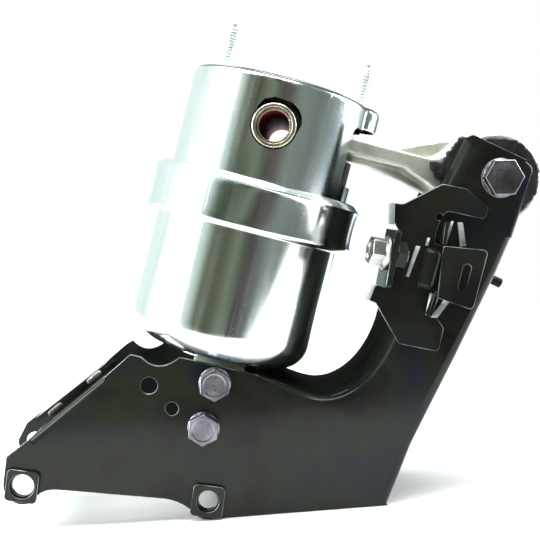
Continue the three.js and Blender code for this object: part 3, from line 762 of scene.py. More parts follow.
# %% [markdown]
# The bracket's outline goes up the right edge, over the pivot ear, down the upright's left edge, round the
# saddle under the can, down the slope to the left foot and back along the bottom. The rear plate's foot
# and notch sit further left than the front's.
# %% Bracket outline
FRONT, SHEET, SEAM_GAP = 39, 3, 0.15
FOOT_LEFT, FOOT_RIGHT, REAR_FOOT, FOOT_R = (-101.5, 27.5), (0.8, 11), (-110.5, 35), 11
FOOT_LEFT_HOLE, FOOT_RIGHT_HOLE = 6, 5.3
PIVOT_Z = 179
LUG_U, LUG_BOLTS = 3.2, (-12.2, -38)
RIGHT_EDGE = [(101.6, 0), (117.5, 33, 60), (146, 81.5, 90), (171, 126, 40), (180.5, 145)]
EAR_RIGHT = [(180.5, 145), (195.5, 183, 5), (191, 188)]
EAR_TOP = [(191, 188), (162, 204, 3), (158.5, 202.5)]
EAR_LEFT = [(158.5, 202.5), (144, 178, 40), (133, 157)]
SADDLE_RIGHT = [(68, 64.3), (84, 62), (100, 75), (109, 96)]
SADDLE_LEFT = [(34, 79.5), (48, 73), (57, 66.5), (68, 64.3)]
UPRIGHT_BEND, SADDLE_BEND, RIGHT_BEND, SLOPE_BEND = 9, 5, 6, 4
EAR_EDGE, LIP_DEPTH = 3.2, 29.5


def on_can(u, w):
    """A place on the can's own axes, as (across, up) on the bracket."""
    spot = BRACKET.inverted() @ (CAN @ Vector((u, 0, w)))
    return spot.x, spot.z


def bracket_runs(foot, slope_foot, slope_top, notch, flange, side):
    right = fillet(RIGHT_EDGE, 0, 8, False)
    upright = straight(EAR_LEFT[-1], SADDLE_RIGHT[-1], 14)
    saddle = bezier(*SADDLE_RIGHT, 24)[::-1] + bezier(*SADDLE_LEFT, 16)[::-1][1:]
    notch_curve = [(notch + 11, 92.6), (notch + 4, 87.5), (notch - 4, 86.5), (notch - 10, 94.5)]
    left_top = [(34, 79.5), (16.6, 85, 12), (*notch_curve[0], 1.5)] + bezier(*notch_curve, 14)[1:]
    left_top = fillet(left_top, 0, 6, False)
    corner = fillet([left_top[-1], (*slope_top, 2), flange[0]], 0, 4, False)[1:]
    toe = arc(foot, FOOT_R, 171, 291.6)
    bottom = toe + bezier(toe[-1], (-92, 24.8), (-86, 23.9), (-80, 23), 6)[1:]
    bottom += bezier((-23, 13.6), (-17, 12.2), (-13, 9.5), (-9.5, 6.5), 8) + arc(FOOT_RIGHT, FOOT_R, 216, 270)
    folded = [([point], UPRIGHT_BEND) for point in upright]
    for k, point in enumerate(saddle):
        folded.append(([point], UPRIGHT_BEND + (SADDLE_BEND - UPRIGHT_BEND) * min(k / 16, 1)))
    ear = [(fillet(EAR_RIGHT, 0, 6, False), EAR_EDGE), (fillet(EAR_TOP, 0, 6, False), 0)]
    ear.append((fillet(EAR_LEFT, 0, 8, False), UPRIGHT_BEND, side * LIP_DEPTH))
    slope = (straight(*flange, 6), SLOPE_BEND)
    foot_edge = ([flange[1], slope_foot] + bottom + [RIGHT_EDGE[0]], 0)
    return [(right, RIGHT_BEND)] + ear + folded + [(left_top + corner, 0), slope, foot_edge]


def bracket_holes(foot, extra):
    spots = [(*foot, FOOT_LEFT_HOLE), (*FOOT_RIGHT, FOOT_RIGHT_HOLE), (PIVOT_ACROSS, PIVOT_Z, 6.3)]
    spots += [(*on_can(LUG_U, w), 5.3) for w in LUG_BOLTS] + extra
    return [hole(*spot) for spot in spots]


front_runs = bracket_runs(FOOT_LEFT, (-109.3, 44.2), (-36, 96.3), -20, [(-52, 84.2), (-96, 52.9)], -1)
rear_runs = bracket_runs(REAR_FOOT, (-115, 47), (-48, 92.6), -34, [(-57, 86), (-101, 56.5)], 1)
print("front outline has", sum(len(run[0]) for run in front_runs), "points")

# %% [markdown]
# The front plate has two small free holes that the rear plate doesn't. Both shells take the same helper,
# with the depths mirrored for the rear one.
# %% Bracket shells
PLATE_HOLES = [(-27, 78.2, 4.7), (-15.4, 64.2, 3.7)]
front_holes, rear_holes = bracket_holes(FOOT_LEFT, PLATE_HOLES), bracket_holes(REAR_FOOT, [])
front_shell = pressed("bracket_front_skin", front_runs, front_holes, -FRONT, SHEET - FRONT, -SEAM_GAP)
finish_piece(front_shell, "black_e_coat", "bracket_front_shell")
rear_shell = pressed("bracket_rear_skin", rear_runs, rear_holes, FRONT, FRONT - SHEET, SEAM_GAP)
finish_piece(rear_shell, "black_e_coat", "bracket_rear_shell")

# %% [markdown]
# The folded walls under the can lie in its shade, so they take a rougher copy of the e-coat with no
# reflection, as painted shade.
# Their faces are picked by where they lie: in the saddle, or on the upright's inner edge.
# %% Cradle walls in painted shade
CRADLE_DEPTH = 34.5
SADDLE_SPAN, SADDLE_RISE = (15, 112), (55, 100)
UPRIGHT_SPAN, UPRIGHT_RISE = (105, 136), (92, 158)


def within(value, span):
    return span[0] < value < span[1]


def paint_cradle_shade(shell):
    # the cradle walls take the e-coat copy without reflection, as painted shade
    shell.data.materials.append(MATERIALS["painted_shade_e_coat"])
    back = BRACKET.inverted()
    for face in shell.data.polygons:
        spot = back @ face.center
        in_saddle = within(spot.x, SADDLE_SPAN) and within(spot.z, SADDLE_RISE)
        in_upright = within(spot.x, UPRIGHT_SPAN) and within(spot.z, UPRIGHT_RISE)
        if abs(spot.y) < CRADLE_DEPTH and (in_saddle or in_upright):
            face.material_index = 2


for shell in (front_shell, rear_shell):
    paint_cradle_shade(shell)

# %% [markdown]
# Each front foot has a reinforcing pad, a rounded square with a hole a little wider than the plate's.
# %% Foot pads
PAD_HALF, PAD_THICK, PAD_TILT, PAD_GAP = 9, 2.4, 0.22, 0.3


def foot_pad(name, foot, radius):
    corners = [(-PAD_HALF, -PAD_HALF), (PAD_HALF, -PAD_HALF), (PAD_HALF, PAD_HALF), (-PAD_HALF, PAD_HALF)]
    back = -FRONT - PAD_GAP
    place = BRACKET @ Matrix.Translation((foot[0], 0, foot[1])) @ Matrix.Rotation(PAD_TILT, 4, "Y")
    runs = [(fillet(corners, 2.6, 6), 0)]
    return pressed(name, runs, [hole(0, 0, radius)], back - PAD_THICK, back, place=place)


for side, foot, radius in (("left", FOOT_LEFT, FOOT_LEFT_HOLE), ("right", FOOT_RIGHT, FOOT_RIGHT_HOLE)):
    finish_piece(foot_pad(f"foot_pad_{side}_skin", foot, radius + 0.9), "black_e_coat", f"foot_pad_{side}")

# %% [markdown]
# A weld bead is a row of frozen ripples. Each bead here is a round bar whose radius rises and falls along
# its length and closes at both ends.
# %% Weld beads
def weld_bead(name, start, end, radius, place=BRACKET, rings=60, sides=20, ripple=1.1):
    start, end = Vector(start), Vector(end)
    along = (end - start).normalized()
    side = along.cross(Vector((0, 1, 0))).normalized()
    depth = along.cross(side)
    length = (end - start).length
    points, faces = [], []
    for i in range(rings + 1):
        t = i / rings
        close = math.sqrt(max(1 - (2 * t - 1) ** 6, 0))
        wave = 1 + 0.09 * abs(math.sin(math.pi * t * length / ripple)) + 0.05 * random.uniform(-1, 1)
        r = max(radius * close * wave, 0.01)
        spot = start + along * (length * t)
        for k in range(sides):
            a = math.tau * k / sides
            points.append(spot + side * (r * math.cos(a)) + depth * (r * 0.8 * math.sin(a)))
    for i in range(rings):
        for k in range(sides):
            a, b = i * sides + k, i * sides + (k + 1) % sides
            faces.append((a, b, b + sides, a + sides))
    faces += [tuple(range(sides)), tuple(range(rings * sides, (rings + 1) * sides))]
    return to_object(name, points, faces, place, 60)


SLOPE_RISE = math.atan2(31.3, 44)
BEAD_R, BEAD_HALF, BEAD_LIFT = 1.9, 5.4, 2.4
rise_cos, rise_sin = math.cos(SLOPE_RISE), math.sin(SLOPE_RISE)
for label, along in (("lower", 12), ("upper", 42)):
    bead_x = -96 + along * rise_cos - BEAD_LIFT * rise_sin
    bead_z = 52.9 + along * rise_sin + BEAD_LIFT * rise_cos
    centre = Vector((bead_x, -2.5, bead_z))
    reach = Vector((rise_cos, 0, rise_sin)) * BEAD_HALF
    bead = weld_bead(f"weld_{label}_skin", centre - reach, centre + reach, BEAD_R)
    finish_piece(bead, "weld_metal", f"weld_{label}")

# %% [markdown]
# A hex head is a stack of rings. Each ring takes the smaller of the hexagon and the chamfer's cone, which
# gives the curved edges where a lathe has cut the corners off. A shallow dish marks the middle.
# %% Hex fasteners
def hexagon(across_flats, angle):
    return across_flats / 2 / math.cos((angle % (math.pi / 3)) - math.pi / 6)


def hex_solid(name, across_flats, height, flange, place, bore=0.0, dish=0.3, turn=0.0, segments=120):
    """A hex standing on z = 0 along local Z, in millimetres, solid or bored. Rows are (radius, height,
    scale); a row with a scale takes the smaller of its radius and that much of the hexagon."""
    cone = across_flats * 0.545
    if bore:
        rows = [(bore, 0, 0), (bore, height - 0.6, 0), (bore + 0.6, height, 0)]
    else:
        floor_z, dish_r = height - dish, across_flats * 0.36
        rows = [(0, floor_z, 0), (dish_r, floor_z, 0), (across_flats * 0.40, height, 0)]
    rows += [(cone, height, 0.94), (cone + 0.35, height - 0.12, 0.965)]
    rows += [(cone + 0.7, height - 0.38, 0.99), (cone + 1.2, height - 0.75, 1)]
    if flange:
        rows += [(across_flats, 2.6, 1), (across_flats * 0.53, 2.3, 0)]
        rows += [(flange - 1.2, 1.75, 0), (flange - 0.3, 1.35, 0)]
        rows += [(flange, 1.0, 0), (flange, 0.25, 0), (flange - 0.3, 0, 0)]
    else:
        rows += [(across_flats, 0.9, 1), (cone + 0.5, 0.5, 0.99), (cone, 0, 0.94)]
    if not bore:
        rows += [(0, 0, 0)]
    points, faces = [], []
    n = len(rows)
    for s in range(segments):
        a = math.tau * s / segments
        for r, h, scale in rows:
            reach = min(r, scale * hexagon(across_flats, a - turn)) if scale else r
            points.append((reach * math.cos(a), reach * math.sin(a), h))
    for s in range(segments):
        t = (s + 1) % segments
        for i in range(n if bore else n - 1):
            j = (i + 1) % n
            faces.append((s * n + i, t * n + i, t * n + j, s * n + j))
    return to_object(name, points, faces, place, 22)


def facing_front(x, y, z):
    """Local Z points to the front, at a place on the bracket."""
    return BRACKET @ Matrix.Translation((x, y, z)) @ Matrix.Rotation(math.pi / 2, 4, "X")


def facing_rear(x, y, z):
    return BRACKET @ Matrix.Translation((x, y, z)) @ Matrix.Rotation(-math.pi / 2, 4, "X")


BOLT_SEAT = FRONT + 0.3
WASHER_THICK = 2.2


def cross_bolt(name, spot, seat, shank, across_flats, head, flange, length, pitch, turn):
    """A bolt from the front: its head, its plain shank, and a thread where it comes out at the rear."""
    place = facing_front(spot[0], -seat, spot[1])
    parts = [hex_solid("head", across_flats, head, flange, place, turn=turn)]
    grip = seat + FRONT - 2
    parts.append(turned("shank", [(0, 0.4), (shank, 0.4), (shank, -grip), (0, -grip)], place, 48))
    at_thread = place @ Matrix.Translation((0, 0, -(grip + length) / 2))
    parts.append(thread("helix", shank - 0.02, length - grip + 0.5, pitch, "bolt_steel", at_thread))
    return joined(name, parts, 22)


for label, w, turn in (("upper", LUG_BOLTS[0], 0.45), ("lower", LUG_BOLTS[1], 0.39)):
    spot = on_can(LUG_U, w)
    bolt = cross_bolt(f"lug_bolt_{label}_skin", spot, BOLT_SEAT, 5, 16, 7.5, 9, 2 * BOLT_SEAT + 11, 1.5, turn)
    finish_piece(bolt, "bolt_steel", f"lug_bolt_{label}")
    nut = hex_solid(f"lug_nut_{label}_skin", 16, 9, 10, facing_rear(spot[0], BOLT_SEAT, spot[1]), bore=5.3)
    finish_piece(nut, "bolt_steel", f"lug_nut_{label}")

PIVOT_SPOT = (PIVOT_ACROSS, PIVOT_Z)
PIVOT_SEAT = BOLT_SEAT + WASHER_THICK + 0.3
bolt_length = PIVOT_SEAT + BOLT_SEAT + 13
pivot_bolt = cross_bolt("pivot_bolt_skin", PIVOT_SPOT, PIVOT_SEAT, 6, 19, 8, 10.4, bolt_length, 1.75, -0.05)
finish_piece(pivot_bolt, "bolt_steel", "pivot_bolt")
at_nut = facing_rear(PIVOT_ACROSS, BOLT_SEAT, PIVOT_Z)
finish_piece(hex_solid("pivot_nut_skin", 19, 10.8, 11.5, at_nut, bore=6.3), "bolt_steel", "pivot_nut")
washer = fillet([(6.3, 0), (11, 0, 0.2), (11, WASHER_THICK, 0.7), (6.3, WASHER_THICK, 0.4)], 0, 4)
washer = turned("pivot_washer_skin", washer, facing_front(PIVOT_ACROSS, -BOLT_SEAT, PIVOT_Z), 80)
finish_piece(washer, "bolt_steel", "pivot_washer")
print("fasteners ready")

# %% [markdown]
# The lug that carries the can is a ribbed block between the plates, drilled for the two lower bolts. It
# only shows as dark ribs in the narrow gap under the can, so its edges are rounded and no more.
# %% Lower lug
LUG_HALF = FRONT - SHEET - 0.3


def lower_lug():
    low, high = LUG_BOLTS[1] - 13, -3.3
    side = [(LUG_U - 15, low, 6), (LUG_U + 15, low, 6), (LUG_U + 15, high, 1), (LUG_U - 15, high, 1)]
    lug = prism("lower_lug_skin", fillet(side, 0, 5), -LUG_HALF, LUG_HALF, CAN)
    for y in (-24, -8, 8, 24):
        slot = [(LUG_U - 20, -5), (LUG_U + 20, -5), (LUG_U + 20, 1), (LUG_U - 20, 1)]
        boolean(lug, prism("slot", slot, y - 5, y + 5, CAN))
    for w in LUG_BOLTS:
        boolean(lug, prism("bore", circle(LUG_U, w, 5.3), -60, 60, CAN))
    return soften(lug, 0.5)


finish_piece(lower_lug(), "cast_alloy", "lower_lug")

# %% [markdown]
# The arm is one casting: a head round the sleeve, a flat flange, a web that deepens towards the pivot and
# a deep eye. Casting melts such shapes into each other with soft corners. A voxel remesh of the rough
# parts and a few smoothing passes do the same, and the two bores are cut afterwards so they stay true.
# %% Arm casting
EYE_R, EYE_HALF, BUSH_R, SNUBBER_R = 25.5, 29, 18, 23.5
SLEEVE_R, SLEEVE_BORE, SLEEVE_HALF = 12, 8.8, 53.5
EYE_SPOT = CAN.inverted() @ PIVOT
ARM_VOXEL = 1.1


def arm_casting():
    eye_u, eye_w = EYE_SPOT.x, EYE_SPOT.z
    low, high = 131.2, 139.4
    flange = [(SLEEVE_U, low), (eye_u - 14, low), (eye_u - 14, high), (SLEEVE_U, high)]
    rib = [(40, low), (96, low), (96, high), (40, high)]
    eye_low, eye_high = eye_w - EYE_R, eye_w + EYE_R
    flare_low = [(80, low - 1), (92, low - 5, 14), (102, 121, 14)]
    flare_low += [(eye_u, eye_low + 0.5), (eye_u, eye_w), (80, high - 2)]
    flare_high = [(84, high - 1), (96, high + 1.5, 16), (108, eye_high - 5, 14)]
    flare_high += [(eye_u, eye_high - 1), (eye_u, eye_w), (84, low + 2)]
    web = [(SLEEVE_U, low - 3), (58, low - 3), (90, 122, 20), (eye_u - 10, eye_low + 3), (eye_u, eye_w)]
    web += [(eye_u - 10, eye_high - 3), (100, 154, 12), (68, high + 1), (SLEEVE_U, high + 1)]
    near, far = SLEEVE_U - 14, SLEEVE_U + 14
    parts = [
        prism("flange", flange, -25, 25, CAN),
        prism("front_rib", rib, -25.5, -20, CAN),
        prism("rear_rib", rib, 20, 25.5, CAN),
        prism("flare_low", fillet(flare_low, 0, 6), -25.2, 25.2, CAN),
        prism("flare_high", fillet(flare_high, 0, 6), -25.2, 25.2, CAN),
        prism("web", fillet(web, 0, 6), -6, 6, CAN),
        prism("eye", circle(eye_u, eye_w, EYE_R, 72), -EYE_HALF, EYE_HALF, CAN),
        prism("head", circle(0, 0, 16, 48), -34, 34, CAN @ SLEEVE_PLACE),
        prism("neck", [(near, 117), (far, 117), (far, 131), (near, 131)], -22, 22, CAN),
    ]
    arm = joined("arm_casting_skin", parts)
    melt = arm.modifiers.new("melt", "REMESH")
    melt.mode = "VOXEL"
    melt.voxel_size = ARM_VOXEL * MM
    melt.use_smooth_shade = True
    soft = arm.modifiers.new("soft", "SMOOTH")
    soft.factor = 0.5
    soft.iterations = 5
    baked(arm)
    boolean(arm, prism("eye_bore", circle(eye_u, eye_w, BUSH_R + 0.3, 96), -60, 60, CAN))
    boolean(arm, prism("sleeve_bore", circle(0, 0, SLEEVE_R + 0.3, 72), -80, 80, CAN @ SLEEVE_PLACE))
    shade(arm.data, 50)
    return arm


finish_piece(arm_casting(), "cast_alloy", "arm_casting", body="arm")

# %% [markdown]
# The cross sleeve is a plated tube with a chamfered mouth, and its liner is a painted tube just inside.
# %% Sleeve and liner
def along_sleeve(profile, name, segments=96):
    """A profile of (radius, distance from the middle), turned about the sleeve's own axis."""
    return turned(name, profile, CAN @ SLEEVE_PLACE @ Matrix.Rotation(math.pi / 2, 4, "X"), segments)


def tube(bore, outer, half, round_in, round_out):
    corners = [(bore, -half, round_in), (outer, -half, round_out)]
    return fillet(corners + [(outer, half, round_out), (bore, half, round_in)], 0, 5)


sleeve_profile = tube(SLEEVE_BORE + 1, SLEEVE_R, SLEEVE_HALF, 0.5, 0.9)
sleeve = along_sleeve(sleeve_profile, "cross_sleeve_skin")
finish_piece(sleeve, "yellow_zinc", "cross_sleeve", body="arm")
liner_profile = tube(SLEEVE_BORE - 0.4, SLEEVE_BORE + 0.7, SLEEVE_HALF - 3, 0.3, 0.3)
liner = along_sleeve(liner_profile, "sleeve_liner_skin")
finish_piece(liner, "red_oxide", "sleeve_liner", body="arm")
liner.data.materials.append(MATERIALS["yellow_zinc"])
for face in liner.data.polygons:
    facing_out = (SLEEVE_PLACE.to_3x3().inverted() @ (CAN.to_3x3().inverted() @ face.normal)).normalized()
    face.material_index = int(abs(facing_out.y) > 0.6)

# %% [markdown]
# The pivot's rubber is bonded round a steel sleeve. Two thick snubber rings beside the eye were trimmed by
# hand, so they are ragged. Layered noise pushes their surface in and out, most at the outer edge.
# %% Pivot rubber
def layered_noise(p, size):
    return noise.fractal(p / size, 1.0, 2.0, 4)


def ragged(made, depth, reach):
    """Pushes each vertex away from the pivot by lumps of noise, fading in over the last few millimetres."""
    centre = Vector((PIVOT.x, 0, PIVOT.z))
    for v in made.data.vertices:
        out = Vector((v.co.x, 0, v.co.z)) - centre
        edge = min(max((out.length / MM - reach) / 4, 0), 1)
        lump = layered_noise(v.co, 0.006) + 0.6 * layered_noise(v.co + Vector((1, 1, 1)), 0.0018)
        v.co += out.normalized() * (edge * depth * MM * lump)
        v.co.y += edge * 0.5 * MM * layered_noise(v.co, 0.003)
    return made


def snubber(name, near, far):
    """A ring about the pivot between two depths, ragged at its rim."""
    profile = fillet([(12, near), (SNUBBER_R - 0.4, near, 1.2), (SNUBBER_R - 0.4, far, 1.2), (12, far)], 0, 5)
    place = BRACKET @ Matrix.Translation((PIVOT_ACROSS, 0, PIVOT_Z)) @ Matrix.Rotation(math.pi / 2, 4, "X")
    return ragged(turned(name, profile, place, 200), 1.2, SNUBBER_R - 4)


FLAP_FRONT, FLAP_BACK = -29.2, -26.4
FLAP = [
    (162, 199), (160.5, 204), (156.5, 203), (153.5, 199), (149.5, 196.5), (148.5, 192.5), (145, 190.5),
    (140.5, 191.5), (138.6, 188.5), (140, 185.5), (142, 181.5), (145.5, 178), (156, 176),
]


def rubber_flap():
    """The trimmed flap of the front snubber that shows between the arm and the upright's left bend."""
    outline = []
    rim = fillet(FLAP[::-1], 1.2, 3)
    for a, b in zip(rim, rim[1:] + rim[:1]):
        steps = max(int((Vector(b) - Vector(a)).length / 0.7), 1)
        outline += straight(a, b, steps)[:-1]
    flap = prism("flap", outline, FLAP_FRONT, FLAP_BACK, BRACKET)
    fine = flap.modifiers.new("fine", "REMESH")
    fine.mode = "VOXEL"
    fine.voxel_size = 0.6 * MM
    soft = flap.modifiers.new("soft", "SMOOTH")
    soft.iterations = 3
    baked(flap)
    for face in flap.data.polygons:
        face.use_smooth = True
    return ragged(flap, 1.4, 26)


front_ring = snubber("ring", EYE_HALF + 0.3, LUG_HALF - 0.4)
front_snubber = joined("eye_snubber_front_skin", [front_ring, rubber_flap()])
finish_piece(front_snubber, "rubber", "eye_snubber_front")
finish_piece(snubber("eye_snubber_rear_skin", -LUG_HALF + 0.4, -EYE_HALF - 0.3), "rubber", "eye_snubber_rear")

# %% [markdown]
# The auxiliary bracket is a thin pressing that lies on the upright and carries smaller folded parts. Each
# one is a pressed sheet with a rounded cut edge.
# %% Auxiliary plate and slotted tab
AUX, GAP = 2.5, 0.3
AUX_BACK = -BOLT_SEAT
AUX_FRONT = AUX_BACK - AUX - GAP
SLOT_FACE = AUX_FRONT - 8

aux_outline = [
    (113, 170), (115.5, 158), (118, 152, 2), (112, 128, 2), (102, 124.5), (97, 117.5, 2), (101.9, 115),
    (113, 91.5, 3), (134.9, 85.3, 2.5), (138.7, 98.4, 2.5), (133, 108, 4), (139.5, 120, 3), (143, 143, 2),
    (136, 146, 2), (139, 155, 3), (144, 163, 3), (166, 156.5, 3), (167.5, 164, 3), (156, 174.5, 4),
    (143, 178, 4), (120.5, 168.5, 6),
]
aux_outline = [(*corner, 1.2) if len(corner) == 2 else corner for corner in aux_outline]
aux_runs = [(fillet(aux_outline, 0, 5), 0)]
aux_plate = pressed("aux_plate_skin", aux_runs, [hole(140, 160, 1.9, 24)], AUX_BACK - AUX, AUX_BACK)
finish_piece(aux_plate, "black_e_coat", "aux_plate")


def stadium(a, b, radius, steps=10):
    """A round-ended slot between two centres, clockwise."""
    a, b = Vector(a), Vector(b)
    heading = math.degrees(math.atan2(*(b - a).yx))
    far_end = arc(b, radius, heading - 90, heading + 90, steps)
    return (far_end + arc(a, radius, heading + 90, heading + 270, steps))[::-1]


tab_outline = [(139, 144.5, 1.5), (134, 116.5, 1.5), (153, 108.3, 2.5), (163.5, 140.3, 2.5)]
tab_runs, tab_slot = [(fillet(tab_outline, 0, 5), 0)], stadium((151.2, 131.4), (147.9, 121.4), 2.2)
slotted_tab = pressed("slotted_tab_skin", tab_runs, [tab_slot], SLOT_FACE - AUX, SLOT_FACE)
finish_piece(slotted_tab, "black_e_coat", "slotted_tab")

# %% [markdown]
# Two folded gussets hold the slotted tab forward of the plate. Each is a short strip standing on edge.
# %% Gussets
def standing_strip(name, a, b, thick, front, back):
    a, b = Vector(a), Vector(b)
    along = (b - a).normalized()
    side = Vector((along.y, -along.x)) * thick
    corners = [tuple(a), tuple(a + side), tuple(b + side), tuple(b)]
    turn = sum(p[0] * q[1] - q[0] * p[1] for p, q in zip(corners, corners[1:] + corners[:1]))
    corners = corners if turn > 0 else corners[::-1]
    return pressed(name, [(fillet(corners, 0.7, 4), 0)], [], front, back)


GUSSETS = {"upper": ((144, 157), (141.5, 145)), "lower": ((136, 119), (131, 106))}
for label, (start, end) in GUSSETS.items():
    gusset = standing_strip(f"gusset_{label}_skin", start, end, 2.4, SLOT_FACE + GAP, AUX_FRONT)
    finish_piece(gusset, "black_e_coat", f"gusset_{label}")

# %% [markdown]
# Where the plate's small flanges are folded, the faces that turn to the left catch the left lamps, and they
# are coloured bright steel as a painted highlight. Each facet is a slim wedge whose front face slopes back
# towards its left side.
# %% Painted highlight facets
FACET_RISE = 1.6
FACETS = [
    [(112.5, 169.6), (111.6, 158.3), (114.8, 157.7), (115.8, 169.4)],
    [(99.6, 125.4), (95.4, 118.0), (98.3, 117.0), (102.2, 125.2)],
    [(149.7, 156.3), (150.4, 143.0), (153.4, 143.1), (152.4, 156.1)],
    [(139.5, 114.0), (131.7, 105.0), (135.1, 104.5), (142.6, 113.1)],
    [(126.0, 145.1), (119.4, 128.8), (120.8, 128.2), (128.2, 144.6)],
    [(132.5, 149.1), (131.1, 145.0), (132.3, 144.6), (133.8, 149.0)],
    [(131.9, 118.6), (128.9, 106.6), (130.2, 106.4), (133.1, 118.5)],
    [(146.2, 157.3), (142.9, 147.6), (144.0, 147.5), (147.4, 157.2)],
]


def highlight_facet(corners):
    """Corners go down the left side and up the right, which stands proud."""
    back, low, high = AUX_FRONT + GAP, AUX_FRONT + GAP - 0.2, AUX_FRONT + GAP - FACET_RISE
    fronts = [low, low, high, high]
    points = [(x, y, z) for (x, z), y in zip(corners, fronts)] + [(x, back, z) for x, z in corners]
    faces = [(0, 1, 2, 3), (7, 6, 5, 4)] + [(i, i + 4, (i + 1) % 4 + 4, (i + 1) % 4) for i in range(4)]
    return soften(to_object("facet", points, faces, BRACKET), 0.15, 30)


# these left-facing faces are coloured bright steel as a painted highlight from the left lamps
facets = finish_piece(joined("fold_highlight_facets", [highlight_facet(corners) for corners in FACETS]), "bare_steel")
facets.data.materials[0] = MATERIALS["fold_painted_highlight"]

# %% [markdown]
# The forward tab is folded nearly square to the plate, along a line that climbs to the right. A flanged
# clip bolt goes through it from the left, into a nut behind it.
# %% Forward tab, clip bolt and nut
TAB_LOW, TAB_HIGH = Vector((103.8, 125)), Vector((111.8, 155.5))
TAB_REACH, TAB_SIDE, TAB_SWING = 18.6, 1.7, math.radians(9)
TAB_LENGTH = (TAB_HIGH - TAB_LOW).length
tab_turn = math.atan2(*(TAB_HIGH - TAB_LOW))
tab_middle = (TAB_LOW + TAB_HIGH) / 2
ON_TAB = BRACKET @ Matrix.Translation((tab_middle.x, AUX_FRONT - GAP, tab_middle.y))
ON_TAB = ON_TAB @ Matrix.Rotation(tab_turn, 4, "Y") @ Matrix.Rotation(TAB_SWING, 4, "Z")
SIDEWAYS = ON_TAB @ Matrix.Rotation(-math.pi / 2, 4, "Z")
CLIP_DEPTH, CLIP_RISE, CLIP_R = 9.7, 2.5, 4
CLIP_FLATS, CLIP_HEAD, CLIP_NUT, CLIP_FLANGE = 14, 9.5, 6.2, 9.2

half = TAB_LENGTH / 2
tab_corners = [(0, -half, 0.5), (TAB_REACH, -half, 2.5), (TAB_REACH, half, 2.5), (0, half, 0.5)]
forward_runs = [(fillet(tab_corners, 0, 7), 0)]
clip_hole = hole(CLIP_DEPTH, CLIP_RISE, CLIP_R + 0.3, 32)
forward_tab = pressed("forward_tab_skin", forward_runs, [clip_hole], -TAB_SIDE, TAB_SIDE, place=SIDEWAYS)
finish_piece(forward_tab, "black_e_coat", "forward_tab")

CLIP_SEAT = TAB_SIDE + GAP
clip_centre = ON_TAB @ Matrix.Translation((0, -CLIP_DEPTH, CLIP_RISE))
TO_LEFT = clip_centre @ Matrix.Rotation(-math.pi / 2, 4, "Y") @ Matrix.Translation((0, 0, CLIP_SEAT))
TO_RIGHT = clip_centre @ Matrix.Rotation(math.pi / 2, 4, "Y") @ Matrix.Translation((0, 0, CLIP_SEAT))
clip_head = hex_solid("head", CLIP_FLATS, CLIP_HEAD, CLIP_FLANGE, TO_LEFT, dish=0.9, turn=0.35)
shank_right = [(0, -0.5), (CLIP_R, -0.5), (CLIP_R, CLIP_NUT - 1), (0, CLIP_NUT - 1)]
shank_left = [(0, 0.5), (CLIP_R, 0.5), (CLIP_R, -2 * CLIP_SEAT), (0, -2 * CLIP_SEAT)]
clip_parts = [clip_head, turned("shank", shank_right, TO_RIGHT, 40), turned("shank", shank_left, TO_LEFT, 40)]
at_thread = TO_RIGHT @ Matrix.Translation((0, 0, CLIP_NUT))
clip_parts.append(thread("helix", CLIP_R - 0.02, 3, 1.25, "bare_steel", at_thread))
finish_piece(joined("clip_bolt_skin", clip_parts, 22), "bare_steel", "clip_bolt")
clip_nut = hex_solid("clip_nut_skin", CLIP_FLATS, CLIP_NUT, 0, TO_RIGHT, bore=CLIP_R + 0.3, turn=0.3)
finish_piece(clip_nut, "black_e_coat", "clip_nut")

# %% [markdown]
# A half-round channel stiffens the plate beside the tab. Its section is half a circle, and it fades out at
# both ends as a pressed rib does.
# %% Half-round channel
def half_round(name, start, end, width, height, rings=40, sides=20):
    start, end = Vector(start), Vector(end)
    along = (end - start).normalized()
    side = Vector((along.y, -along.x))
    points, faces = [], []
    for i in range(rings + 1):
        t = i / rings
        fade = min(1, math.sin(math.pi * t) * 3) ** 0.6 if 0 < t < 1 else 0.02
        spot = start + (end - start) * t
        for k in range(sides + 1):
            a = math.pi * k / sides
            across = spot + side * (width * math.cos(a) * (0.75 + 0.25 * fade))
            points.append((across.x, AUX_FRONT - height * fade * math.sin(a), across.y))
    row = sides + 1
    for i in range(rings):
        a, b = i * row, (i + 1) * row
        faces += [(a + k, a + k + 1, b + k + 1, b + k) for k in range(sides)]
        faces.append((a, b, b + sides, a + sides))
    faces += [tuple(range(row)), tuple(range(rings * row, (rings + 1) * row))]
    return to_object(name, points, faces, BRACKET, 35)


strap = half_round("half_round_strap_skin", (128.5, 121), (136.1, 143), 5, 4.9)
finish_piece(strap, "black_e_coat", "half_round_strap")

# %% [markdown]
# A small black stud stands out of the upright's right wall, pointing down to the right.
# %% Side stud
STUD_SPOT, STUD_TURN = (175.24, 0, 120.87), math.pi / 2 + 0.5
stud_place = BRACKET @ Matrix.Translation(STUD_SPOT) @ Matrix.Rotation(STUD_TURN, 4, "Y")
end_profile = fillet([(0, 7.5), (2.9, 7.5, 0), (2.9, 7.9, 0.2), (2.4, 8.5, 0.4), (0, 8.5)], 0, 3, False)
stud_end = turned("end", end_profile, stud_place, 32)
stud_body = turned("body", [(0, -8.5), (2.95, -8.5), (2.95, -1), (0, -1)], stud_place, 32)
stud_thread = thread("helix", 2.98, 9, 1.0, "black_stud", stud_place @ Matrix.Translation((0, 0, 3.2)))
finish_piece(joined("side_stud_skin", [stud_body, stud_thread, stud_end], 22), "black_stud", "side_stud")

